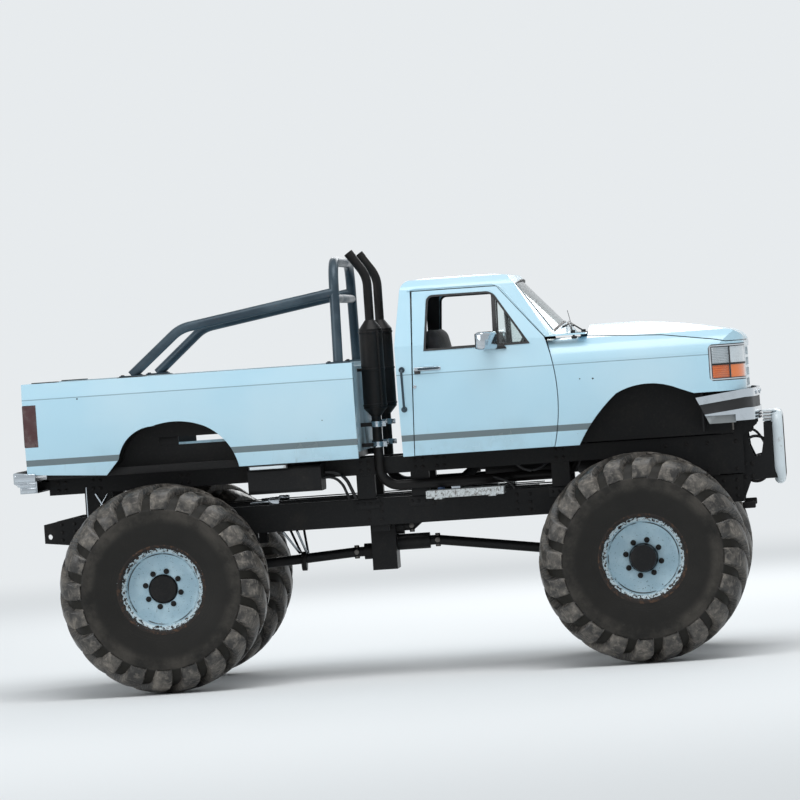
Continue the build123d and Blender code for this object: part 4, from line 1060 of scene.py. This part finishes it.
def trimCab():
    paneBorder("cab_glass", "glass_border_cab", 0.024, 0.007, "root")
    for side in ("right", "left"):
        paneBorder(f"door_glass_{side}", f"glass_border_vent_{side}", 0.012, 0.005, f"door_{side}")
    wipers = []
    for pivotY, tipY in ((-0.55, -0.28), (0.08, 0.36)):
        start = Vector((glassAt(pivotY, 2.560) + 0.060, pivotY, 2.546))
        reach = Vector((glassAt(tipY, 2.612) + 0.024, tipY, 2.612))
        wipers.append(rod("pivot", start - Vector((0, 0, 0.016)), start + Vector((0, 0, 0.012)), 0.018, 20,
                          0.004))
        wipers.append(rod("arm", start, reach, 0.0065, 12, 0.002))
        spots = ((tipY - 0.27, 2.590), (tipY, 2.606), (tipY + 0.27, 2.624))
        blade = [Vector((glassAt(y, z) + 0.012, y, z)) for y, z in spots]
        wipers.append(rod("blade", blade[0], blade[1], 0.0075, 10, 0.002))
        wipers.append(rod("blade", blade[1], blade[2], 0.0075, 10, 0.002))
    finished(joined(wipers, "wipers"), "black")
    cowl = [block("cowl", (1.412, -0.70, 2.526), (1.494, 0.70, 2.5365), 0.004)]
    for count in range(30):
        y = -0.66 + count * 0.0455
        cowl.append(block("vane", (1.422, y - 0.008, 2.534), (1.486, y + 0.008, 2.5395), 0.002, 1))
    finished(joined(cowl, "cowl_grille"), "black")
    foot = rod("foot", (1.41, -0.845, 2.462), (1.41, -0.845, 2.512), 0.022, 20, 0.006, 3)
    stub = rod("stub", (1.41, -0.845, 2.505), (1.405, -0.845, 2.535), 0.008, 12, 0.002)
    mast = pipe("mast", [(1.405, -0.845, 2.53), (1.395, -0.845, 2.60), (1.372, -0.845, 2.71)], 0.0022, 0.03)
    finished(joined([foot, stub, mast], "antenna_base"), "black")
    grab = [pipe("grab", [onSide(0.086, 2.340, -0.002), onSide(0.086, 2.330, 0.045),
                          onSide(0.090, 2.052, 0.050),
                          onSide(0.091, 2.042, -0.002)], 0.0095, 0.022)]
    for z in (2.342, 2.040):
        grab.append(rod("foot", onSide(0.088, z, -0.003), onSide(0.088, z, 0.008), 0.023, 24, 0.003, 3))
    finished(joined(grab, "grab_handle"), "bar")
    plugs = []
    for x, z, radius in ((1.438, 2.184, 0.005), (1.537, 2.180, 0.007), (-2.411, 2.289, 0.006),
                         (-0.546, 2.000, 0.004)):
        plugs.append(rod("plug", onSide(x, z, -0.004), onSide(x, z, 0.0025), radius, 16, 0.001))
    finished(joined(plugs, "rubber_plugs"), "black")
    print("cab trimmed")


bench = {
    "half": 0.652, "voxel": 0.010, "pressure": 4.0, "frames": 20, "cap": 0.016, "channel": 0.006,
    "channelHalf": 0.016,
    "cushion": [(0.395, 1.976), (0.882, 1.976), (0.908, 2.042), (0.876, 2.090), (0.470, 2.078)],
    "back": [(0.452, 2.112), (0.340, 2.622), (0.302, 2.652), (0.262, 2.628), (0.345, 2.098)],
    "seams": (-0.217, 0.217), "edge": 0.070,
}


def stuffed(name, corners):  # foam under cloth, swollen by the simulation, then sewn channels
    half = bench["half"]
    pad = rounded(slab(name, [(x, -half, z) for x, z in corners], (0, 2 * half, 0)), 0.024, 4)
    shaped(pad, "REMESH", {"mode": "VOXEL", "voxel_size": bench["voxel"]})
    start = [vertex.co.copy() for vertex in pad.data.vertices]
    cloth = pad.modifiers.new("stuffing", "CLOTH")
    cloth.settings.use_pressure = True
    cloth.settings.uniform_pressure_force = bench["pressure"]
    cloth.settings.effector_weights.gravity = 0.0
    for step in range(1, bench["frames"] + 1):
        bpy.context.scene.frame_set(step)
    activate(pad)
    bpy.ops.object.modifier_apply(modifier="stuffing")
    bpy.context.scene.frame_set(1)
    for vertex, rest in zip(pad.data.vertices, start):
        move = vertex.co - rest
        if move.length > bench["cap"]:
            vertex.co = rest + move * (bench["cap"] / move.length)
    shaped(pad, "SUBSURF", {"levels": 1, "render_levels": 1})
    lines = bench["seams"] + (-half + bench["edge"], half - bench["edge"])
    normals = [vertex.normal.copy() for vertex in pad.data.vertices]
    for vertex, normal in zip(pad.data.vertices, normals):
        near = min(abs(vertex.co.y - line) for line in lines) / bench["channelHalf"]
        if near < 1:
            vertex.co -= normal * bench["channel"] * (1 - near) ** 2
    return pad


def makeSeat():
    for name in ("cushion", "back"):
        pad = stuffed(f"bench_{name}", bench[name])
        finished(pad, "cloth", smooth=60)
        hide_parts("seat")
    print("bench stuffed")


makeSeat()
trimDoors()
makeMirrors()
trimCab()


# Bed: floor ribs, rail caps, tailgate, sills, a black plate that paints shade into the wheelhouse slot, and
# side markers
bedParts = {"ribs": 11, "ribPitch": 0.108, "rail": 2.425, "gateFront": -2.8372}


def trimBed():
    ribs = []
    for count in range(bedParts["ribs"]):
        y = (count - (bedParts["ribs"] - 1) / 2) * bedParts["ribPitch"]
        ribs.append(block("rib", (-2.76, y - 0.027, 1.780), (-0.36, y + 0.027, 1.797), 0.008))
    finished(joined(ribs, "bed_floor_ribs"), "liner")
    caps = [block("cap", (-2.76, -0.965, 2.423), (-2.56, -0.845, 2.433), 0.004),
            block("cap", (-2.10, -0.972, 2.423), (-1.88, -0.838, 2.431), 0.003)]
    bothSides(joined(caps, "caps"), "rail_cap", "black")
    x = bedParts["gateFront"] + 0.008
    handle = block("plate", (x - 0.012, -0.12, 2.245), (x + 0.002, 0.12, 2.325), 0.005, 3)
    lever = block("lever", (x - 0.026, -0.085, 2.268), (x - 0.010, 0.085, 2.300), 0.006, 3)
    finished(joined([handle, lever], "tailgate_handle"), "chrome", "tailgate")
    stamps = [block("stamp", (x - 0.006, -0.60, z - 0.010), (x + 0.002, 0.60, z + 0.010), 0.005, 3)
              for z in (1.955, 2.17)]
    finished(joined(stamps, "tailgate_ribs"), "paint", "tailgate")
    inner = bedParts["gateFront"] + 0.05
    ribs = [block("rib", (inner - 0.004, y - 0.04, 1.86), (inner + 0.006, y + 0.04, 2.36), 0.003)
            for y in (-0.6, -0.3, 0, 0.3, 0.6)]
    finished(joined(ribs, "tailgate_inner_ribs"), "liner", "tailgate")
    marker = block("marker", (-1.130, -0.952, 1.655), (-0.850, -0.905, 1.678), 0.003)
    border = block("border", (-1.140, -0.948, 1.650), (-0.840, -0.900, 1.6895), 0.003)
    sill = block("sill", (-2.70, -0.886, 1.683), (-0.31, -0.864, 1.744), 0.003)
    bothSides(sill, "bed_sill", "undercoat")
    # painted shade: a black plate closes the rear end of the wheelhouse slot so that it shows dark
    plate = block("plate", (-1.842, -0.664, 1.883), (-1.692, -0.635, 1.947), 0.002)
    bothSides(plate, "slot_shade_plate", "undercoat")
    bothSides(marker, "marker_strip", "white")
    bothSides(border, "marker_holder", "black")
    print("bed trimmed")


trimBed()


# Stacks and roll bar
stacks = {"x": -0.167, "y": -0.52, "radius": 0.038, "muffler": 0.090, "clamps": (1.937, 1.780),
          "tip": (-0.296, 3.265)}


def trimStacks():
    x, y = stacks["x"], stacks["y"]
    clamps = []
    for z in stacks["clamps"]:
        band = rod("band", (x, y, z - 0.022), (x, y, z + 0.022), stacks["radius"] + 0.006, 40, 0.003)
        ear = block("ear", (x + 0.036, y - 0.008, z - 0.020), (x + 0.070, y + 0.008, z + 0.020), 0.002)
        clamps += [band, ear, boltRow("bolt", [(x + 0.055, y - 0.008, z - 0.010),
                                               (x + 0.055, y - 0.008, z + 0.010)],
                                      (0, -1, 0), 0.007, 0.008)]
    bothSides(joined(clamps, "clamps"), "stack_clamps", "chrome")
    rings = [rod("ring", (x, y, z - 0.009), (x, y, z + 0.009), stacks["muffler"] + 0.004, 56, 0.003)
             for z in (2.085, 2.36, 2.645)]
    seam = block("seam", (x + 0.052, y - 0.080, 2.07), (x + 0.066, y - 0.066, 2.66), 0.002)
    strap = block("strap", (-0.292, y - 0.012, 2.348), (x, y + 0.012, 2.372), 0.003)
    bothSides(joined(rings + [seam, strap], "mufflerBands"), "muffler_bands", "steel")
    aim = Vector((-0.129, 0, 0.185)).normalized()
    end = Vector((stacks["tip"][0], y, stacks["tip"][1]))
    mouth = opened(bar("mouth", end - aim * 0.045, end + aim * 0.004, 0.037, 32), aim, 0.004, 0.042)
    bothSides(mouth, "stack_mouth", "steel")
    print("stacks trimmed")


def trimRollBar():
    cross = pipe("cross", [(-0.40, -0.842, 2.921), (-0.40, 0.842, 2.921)], 0.033, sides=12)
    finished(cross, "bar")
    rows = []
    for x in (-0.40, -1.99):
        feet = [(x + dx, -0.905 + dy, 2.4375) for dx in (-0.07, 0.07) for dy in (-0.042, 0.042)]
        rows.append(boltRow("feet", feet, (0, 0, 1), 0.010, 0.009))
    bothSides(joined(rows, "feetBolts"), "roll_bar_bolts", "steel")
    print("roll bar trimmed")


trimStacks()
trimRollBar()


# Running gear: spring and axle fittings, chassis bolts, fixed lines, struts, engine and radiator fittings
gear = {
    "springY": -0.39, "axles": (frontAxle[0], rearAxle[0]), "axleZ": frontAxle[1],
    "railFace": -0.4301, "frameFace": -0.4701, "coverBolts": 10, "coverCircle": 0.135,
}


def fitSprings():
    parts = []
    for x in gear["axles"]:
        y = gear["springY"]
        for side in (-0.075, 0.075):
            legs = [(x + side, y - 0.046, 0.69), (x + side, y - 0.046, 0.985), (x + side, y + 0.046, 0.985),
                    (x + side, y + 0.046, 0.69)]
            parts.append(pipe("strap", legs, 0.011, 0.03))
        parts.append(block("foot", (x - 0.11, y - 0.065, 0.700), (x + 0.11, y + 0.065, 0.722), 0.004))
        nuts = [(x + dx, y + dy, 0.700) for dx in (-0.075, 0.075) for dy in (-0.046, 0.046)]
        parts.append(boltRow("nuts", nuts, (0, 0, -1), 0.017, 0.018))
        for offset in (-0.36, 0.36):
            z = 0.887 + 0.065 + 0.130 * (offset / 0.64) ** 2
            parts.append(block("clip", (x + offset - 0.018, y - 0.040, z - 0.040),
                               (x + offset + 0.018, y + 0.040, z + 0.026), 0.004))
    bothSides(joined(parts, "springFittings"), "spring_fittings", "steel")


def fitRails():
    places = []
    for x in (-2.62, -1.38, -0.23, 0.92, 2.52):
        for dx in (-0.05, 0.05):
            for z in (1.20, 1.26, 1.32):
                places.append((x + dx, gear["railFace"], z))
    rails = boltRow("railBolts", places, (0, -1, 0), 0.011, 0.010)
    places = []
    for x in (-2.64, -2.37, -1.685, -0.70, -0.286, 0.134, 0.30, 1.22, 2.10, 2.37):
        for z in (1.585, 1.645):
            places.append((x - 0.028, gear["frameFace"], z))
            places.append((x + 0.028, gear["frameFace"], z))
    frameBolts = boltRow("frameBolts", [place for place in places if place[0] < 1.95], (0, -1, 0), 0.011,
                         0.010)
    shields = boltRow("shieldBolts", [(x, gear["frameFace"] - 0.008, z) for x in (2.04, 2.20, 2.36, 2.58)
                                      for z in (1.41, 1.62)], (0, -1, 0), 0.012, 0.010)
    bothSides(joined([rails, frameBolts, shields], "chassisBolts"), "chassis_bolts", "steel")
    plates = []
    for x in (-0.286, 0.134, 1.22):
        plates.append(block("gusset", (x - 0.10, gear["railFace"] - 0.011, 1.285),
                            (x + 0.10, gear["railFace"] + 0.001, 1.362), 0.003))
        bolts = [(x + dx, gear["railFace"] - 0.011, 1.325) for dx in (-0.075, -0.025, 0.025, 0.075)]
        plates.append(boltRow("bolts", bolts, (0, -1, 0), 0.010, 0.009))
    plates.append(pipe("brakeLine", [(-2.40, -0.436, 1.372), (-1.5, -0.437, 1.376), (0.9, -0.437, 1.376),
                                     (1.5, -0.437, 1.374)], 0.0055, 0.04))
    plates.append(pipe("brakeLine", [(-2.20, -0.440, 1.388), (-0.45, -0.441, 1.390), (1.05, -0.440, 1.388)],
                       0.0045, 0.04))
    bothSides(joined(plates, "gussets"), "rail_gussets", "chassis")


def fitHoses():
    hoses = [
        ([(-0.585, -0.62, 1.60), (-0.50, -0.60, 1.595), (-0.43, -0.56, 1.54), (-0.40, -0.50, 1.46),
          (-0.37, -0.47, 1.375)], 0.014),
        ([(-0.59, -0.66, 1.555), (-0.52, -0.655, 1.56), (-0.455, -0.60, 1.50), (-0.43, -0.50, 1.41),
          (-0.42, -0.45, 1.37)], 0.011),
        ([(0.42, -0.46, 1.372), (0.46, -0.47, 1.45), (0.62, -0.48, 1.50), (0.82, -0.47, 1.43),
          (0.86, -0.45, 1.372)], 0.010),
        ([(0.88, -0.45, 1.56), (0.96, -0.47, 1.50), (1.05, -0.47, 1.50), (1.13, -0.44, 1.56)], 0.012),
        ([(1.80, -0.46, 1.37), (1.86, -0.56, 1.28), (1.85, -0.60, 1.10), (1.84, -0.62, 0.90)], 0.009),
        ([(-1.80, -0.44, 1.20), (-1.84, -0.52, 1.12), (-1.84, -0.58, 1.00), (-1.84, -0.60, 0.885)], 0.009),
        ([(2.64, -0.33, 1.62), (2.74, -0.30, 1.66), (2.83, -0.31, 1.60), (2.875, -0.33, 1.52)], 0.011),
        ([(2.60, -0.30, 1.70), (2.72, -0.26, 1.71), (2.80, -0.27, 1.60), (2.82, -0.28, 1.46),
          (2.74, -0.30, 1.40)], 0.010),
    ]
    lines = [pipe("line", points, radius, 0.05) for points, radius in hoses]
    finished(joined(lines, "fixed_lines"), "black")


def fitStruts():
    parts = []
    for start, end in (((-2.385, -0.478, 1.395), (-2.292, -0.478, 1.535)),
                       ((-2.292, -0.484, 1.380), (-2.385, -0.484, 1.545))):
        parts.append(rod("strut", start, end, 0.009, 12, 0.002, 1))
    parts.append(rod("lever", (-1.19, -0.452, 1.388), (-0.985, -0.452, 1.402), 0.010, 12, 0.002))
    parts.append(block("block", (-1.05, -0.47, 1.372), (-0.965, -0.435, 1.415), 0.008, 3))
    for x0, z0, x1, z1 in ((-0.858, 1.150, -0.813, 0.958), (-0.968, 1.150, -0.870, 0.968)):
        parts.append(rod("strut", (x0, -0.30, z0), (x1, -0.05, z1), 0.010, 12, 0.002))
    parts.append(pipe("rod", [(-2.44, -0.58, 1.60), (-2.44, -0.58, 1.34)], 0.005))
    bothSides(joined(parts, "struts"), "bright_struts", "chrome")
    collar = rod("shaft_collar", (-0.862, 0, 0.90), (-0.822, 0, 0.90), 0.075, 32, 0.004)
    finished(collar, "steel")
    reservoir = rod("jar", (0.295, -0.50, 1.366), (0.295, -0.50, 1.452), 0.026, 24, 0.006, 3)
    lid = rod("lid", (0.295, -0.50, 1.450), (0.295, -0.50, 1.470), 0.020, 20, 0.003)
    valve = block("valve_block", (0.375, -0.52, 1.366), (0.445, -0.46, 1.430), 0.006, 3)
    finished(joined([reservoir, lid], "reservoir"), "blueCap")
    finished(valve, "chrome")


def fitAxles():
    parts = []
    axleZ, circle = gear["axleZ"], gear["coverCircle"]
    for x, outward, lift in ((frontAxle[0], 1, 0.020), (rearAxle[0], -1, 0.080)):
        angles = [math.tau * k / gear["coverBolts"] for k in range(gear["coverBolts"])]
        cover = [(x + outward * 0.203, circle * math.cos(a), axleZ + circle * math.sin(a)) for a in angles]
        parts.append(rod("cover", (x + outward * 0.150, 0, axleZ), (x + outward * 0.205, 0, axleZ), 0.160,
                         48, 0.012, 3))
        parts.append(boltRow("coverBolts", cover, (outward, 0, 0), 0.011, 0.010))
        for side in (-1, 1):
            parts.append(rod("ring", (x, side * 0.30, axleZ), (x, side * 0.335, axleZ), 0.092, 40, 0.005))
            parts.append(rod("ring", (x, side * 0.55, axleZ), (x, side * 0.575, axleZ), 0.085, 40, 0.004))
        flange = x - outward * 0.300
        parts.append(rod("yoke", (flange + outward * 0.012, 0, axleZ + lift),
                         (flange + outward * 0.032, 0, axleZ + lift), 0.082, 32, 0.004))
    finished(joined(parts, "axle_fittings"), "steel")
    crosses = []
    for x, z in ((-0.427, 0.945), (-1.475, 0.880), (0.210, 1.000), (1.475, 0.820), (0.015, 1.125),
                 (0.56, 1.56)):
        crosses.append(rod("cross", (x, -0.052, z), (x, 0.052, z), 0.020, 20, 0.003))
        crosses.append(rod("cross", (x, 0, z - 0.052), (x, 0, z + 0.052), 0.020, 20, 0.003))
    finished(joined(crosses, "shaft_joints"), "spring")
    boots = []
    for x in gear["axles"]:
        for end in (-1, 1):
            top = Vector((x + end * 0.150, -0.54, 1.305))
            foot = Vector((x + end * 0.095, -0.54, 0.84))
            for share in (0.06, 0.52, 0.56):
                place = top.lerp(foot, share)
                along = (foot - top).normalized()
                boots.append(rod("band", place - along * 0.008, place + along * 0.008, 0.042, 28, 0.003))
    bothSides(joined(boots, "damperBands"), "damper_bands", "white")


def fitEngine():
    parts = [block("cover", (1.54, y - 0.075, 2.02), (2.14, y + 0.075, 2.105), 0.02, 4)
             for y in (-0.205, 0.205)]
    parts.append(rod("cleaner", (1.82, 0, 2.125), (1.82, 0, 2.205), 0.215, 56, 0.02, 4))
    for y, z, radius, sides, edge in ((0, 1.60, 0.095, 40, 0.008), (-0.19, 1.93, 0.055, 32, 0.006),
                                      (0.19, 1.93, 0.055, 32, 0.006)):
        parts.append(rod("pulley", (2.17, y, z), (2.225, y, z), radius, sides, edge))
    panBolts = [(x, side * 0.171, 1.445) for x in (1.55, 1.70, 1.95, 2.12) for side in (-1, 1)]
    parts.append(boltRow("panBolts", panBolts, (0, 0, 1), 0.009, 0.009))
    finished(joined(parts, "engine_fittings"), "steel")
    fins = []
    for count in range(34):
        z = 1.72 + count * 0.0178
        fins.append(brick("fin", (2.5605, -0.53, z - 0.0025), (2.566, 0.53, z + 0.0025)))
    for side in (-1, 1):
        fins.append(block("tank", (2.556, side * 0.545 - 0.02, 1.71), (2.575, side * 0.545 + 0.02, 2.32),
                          0.004))
    finished(rounded(joined(fins, "radiator_fins"), 0.0008, 1), "spring", slot="black_steel")
    print("running gear fitted")


fitSprings()
fitRails()
fitHoses()
fitStruts()
fitAxles()
fitEngine()


# Front end: bolts, winch, push bar's bead, hood hinges; tail: step pad, end bands, lamp frames
front = {"bumperFace": 2.788, "drumX": 2.72, "drumZ": 1.39, "beadX": 2.942}


def fitFront():
    bolts = []
    for y in (-0.62, -0.30, 0.30, 0.62):
        x = front["bumperFace"] - 0.042 * (y / 0.78) ** 2
        bolts.append((x, y, 1.992))
    finished(boltRow("bumper_bolts", bolts, (1, 0, 0), 0.014, 0.008), "chrome")
    guardBolts = [(2.64 + 0.055 * k, -0.3985, z) for k in range(2) for z in (1.34, 1.44, 1.70)]
    plates = [boltRow("guardBolts", guardBolts, (0, -1, 0), 0.013, 0.011)]
    plates.append(block("hook", (2.60, -0.470, 1.10), (2.70, -0.436, 1.152), 0.010, 3))
    bothSides(joined(plates, "guardBolts"), "guard_bolts", "steel")
    x, z = front["drumX"], front["drumZ"]
    drum = [rod("drum", (x, -0.20, z), (x, 0.20, z), 0.072, 40, 0.010)]
    for y in (-0.21, 0.21):
        drum.append(rod("flange", (x, y - 0.012, z), (x, y + 0.012, z), 0.105, 48, 0.006))
    drum.append(rod("motor", (x, -0.345, z), (x, -0.225, z), 0.080, 40, 0.012, 3))
    drum.append(rod("gear", (x, 0.225, z), (x, 0.340, z), 0.084, 40, 0.012, 3))
    finished(joined(drum, "winch"), "steel")
    turns = []
    for count in range(26):
        y = -0.187 + count * 0.0150
        turns.append(rod("turn", (x, y - 0.007, z), (x, y + 0.007, z), 0.079, 32, 0.004))
    finished(joined(turns, "winch_rope_turns"), "spring")
    corners = [(front["beadX"], y, z) for y, z in ((-0.330, 1.80), (-0.330, 1.325), (0.330, 1.325),
                                                   (0.330, 1.80))]
    finished(loop("push_bar_bead", corners, 0.0055, 0.05), "black")
    for side, y in (("right", -0.70), ("left", 0.70)):
        points = [(1.56, y, 2.44), (1.66, y, 2.36), (1.80, y, 2.34)]
        finished(pipe(f"hood_hinge_{side}", points, 0.012, 0.04), "steel")
    print("front fitted")


def fitTail():
    pad = []
    for count in range(24):
        y = -0.92 + count * 0.08
        pad.append(block("rib", (-2.925, y - 0.022, 1.744), (-2.850, y + 0.022, 1.756), 0.003, 1))
    finished(joined(pad, "step_pad_ribs"), "black")
    bands = [block("band", (back, y, low), (-2.775, -0.966, high), edge, 3)
             for back, y, low, high, edge in ((-2.935, -0.984, 1.678, 1.738, 0.007),
                                              (-2.918, -0.981, 1.641, 1.668, 0.006),
                                              (-2.896, -0.984, 1.592, 1.632, 0.007))]
    bothSides(joined(bands, "bands"), "bumper_end_bands", "chrome")
    frames = loop("lampFrame", [(-2.8365, -0.985, 1.944), (-2.8365, -0.985, 2.257), (-2.8365, -0.872, 2.257),
                                (-2.8365, -0.872, 1.944)], 0.005, 0.012)
    bothSides(frames, "tail_lamp_frame", "black")
    plate = block("blank_plate", (-2.955, -0.155, 1.598), (-2.944, 0.155, 1.664), 0.004)
    finished(plate, "white")
    print("tail fitted")


fitFront()
fitTail()


# Studio
studio = {
    "camera": (3.35, -46.6, 2.62), "target": (0.060, -1.0, 2.115), "roll": -3.9, "lens": 270.0,
    "backdrop": (0.80, 0.83, 0.85, 1), "ambient": (0.93, 0.97, 1.0, 1),
}


def placeCamera():
    data = bpy.data.cameras.new("camera")
    camera = bpy.data.objects.new("camera", data)
    bpy.context.scene.collection.objects.link(camera)
    look = Vector(studio["target"]) - Vector(studio["camera"])
    turn = look.to_track_quat("-Z", "Y").to_matrix().to_4x4()
    roll = Matrix.Rotation(math.radians(studio["roll"]), 4, "Z")
    camera.matrix_world = Matrix.Translation(studio["camera"]) @ turn @ roll
    data.lens = studio["lens"]
    data.clip_end = 400
    bpy.context.scene.camera = camera


def placeFloor():
    clearSelection()
    bpy.ops.mesh.primitive_plane_add(size=700, location=(0, 0, 0))
    floor = bpy.context.object
    floor.name = "floor"
    finish, here = newFinish("floorPale")
    tree = finish.node_tree
    setShader(finish, {"Base Color": (0.74, 0.76, 0.77, 1), "Roughness": 0.85, "Specular IOR Level": 0.1})
    far = rise(here.node("ShaderNodeVectorMath", {"operation": "LENGTH"}, {0: here}, 1), 9.0, 26.0)
    glow = here.node("ShaderNodeEmission", {}, {"Color": studio["backdrop"], "Strength": 1.0})
    near = Wire(tree.nodes["Principled BSDF"].outputs[0])
    both = here.node("ShaderNodeMixShader", {}, {0: far, 1: near, 2: glow})
    tree.links.new(both.socket, tree.nodes["Material Output"].inputs["Surface"])
    floor.data.materials.append(finish)


def lightStudio():
    world = bpy.context.scene.world or bpy.data.worlds.new("world")
    bpy.context.scene.world = world
    world.use_nodes = True
    tree = world.node_tree
    tree.nodes.clear()
    path = tree.nodes.new("ShaderNodeLightPath")
    camera = Wire(path.outputs["Is Camera Ray"])
    seen = camera + Wire(path.outputs["Is Transmission Ray"])
    ambient = camera.node("ShaderNodeBackground", {}, {"Color": studio["ambient"], "Strength": 0.66})
    backdrop = camera.node("ShaderNodeBackground", {}, {"Color": studio["backdrop"], "Strength": 1.0})
    both = camera.node("ShaderNodeMixShader", {}, {0: seen, 1: ambient, 2: backdrop})
    out = tree.nodes.new("ShaderNodeOutputWorld")
    tree.links.new(both.socket, out.inputs["Surface"])
    # lamp: place, aim, width, height, watts
    lamps = [((1.5, -5.0, 14.0), (0, 0, 1.5), 12.0, 8.0, 1050.0),
             ((-13.0, -12.0, 6.0), (0, 0, 1.5), 7.0, 5.0, 500.0),
             ((2.0, 14.0, 9.0), (0, 0, 1.6), 12.0, 6.0, 900.0)]
    for place, aim, width, height, watts in lamps:
        data = bpy.data.lights.new("softbox", "AREA")
        data.shape = "RECTANGLE"
        data.size = width
        data.size_y = height
        data.energy = watts
        lamp = bpy.data.objects.new("softbox", data)
        bpy.context.scene.collection.objects.link(lamp)
        turn = (Vector(aim) - Vector(place)).to_track_quat("-Z", "Y").to_matrix().to_4x4()
        lamp.matrix_world = Matrix.Translation(place) @ turn
    bpy.context.scene.view_settings.view_transform = "Standard"


placeCamera()
placeFloor()
lightStudio()
print("studio set")
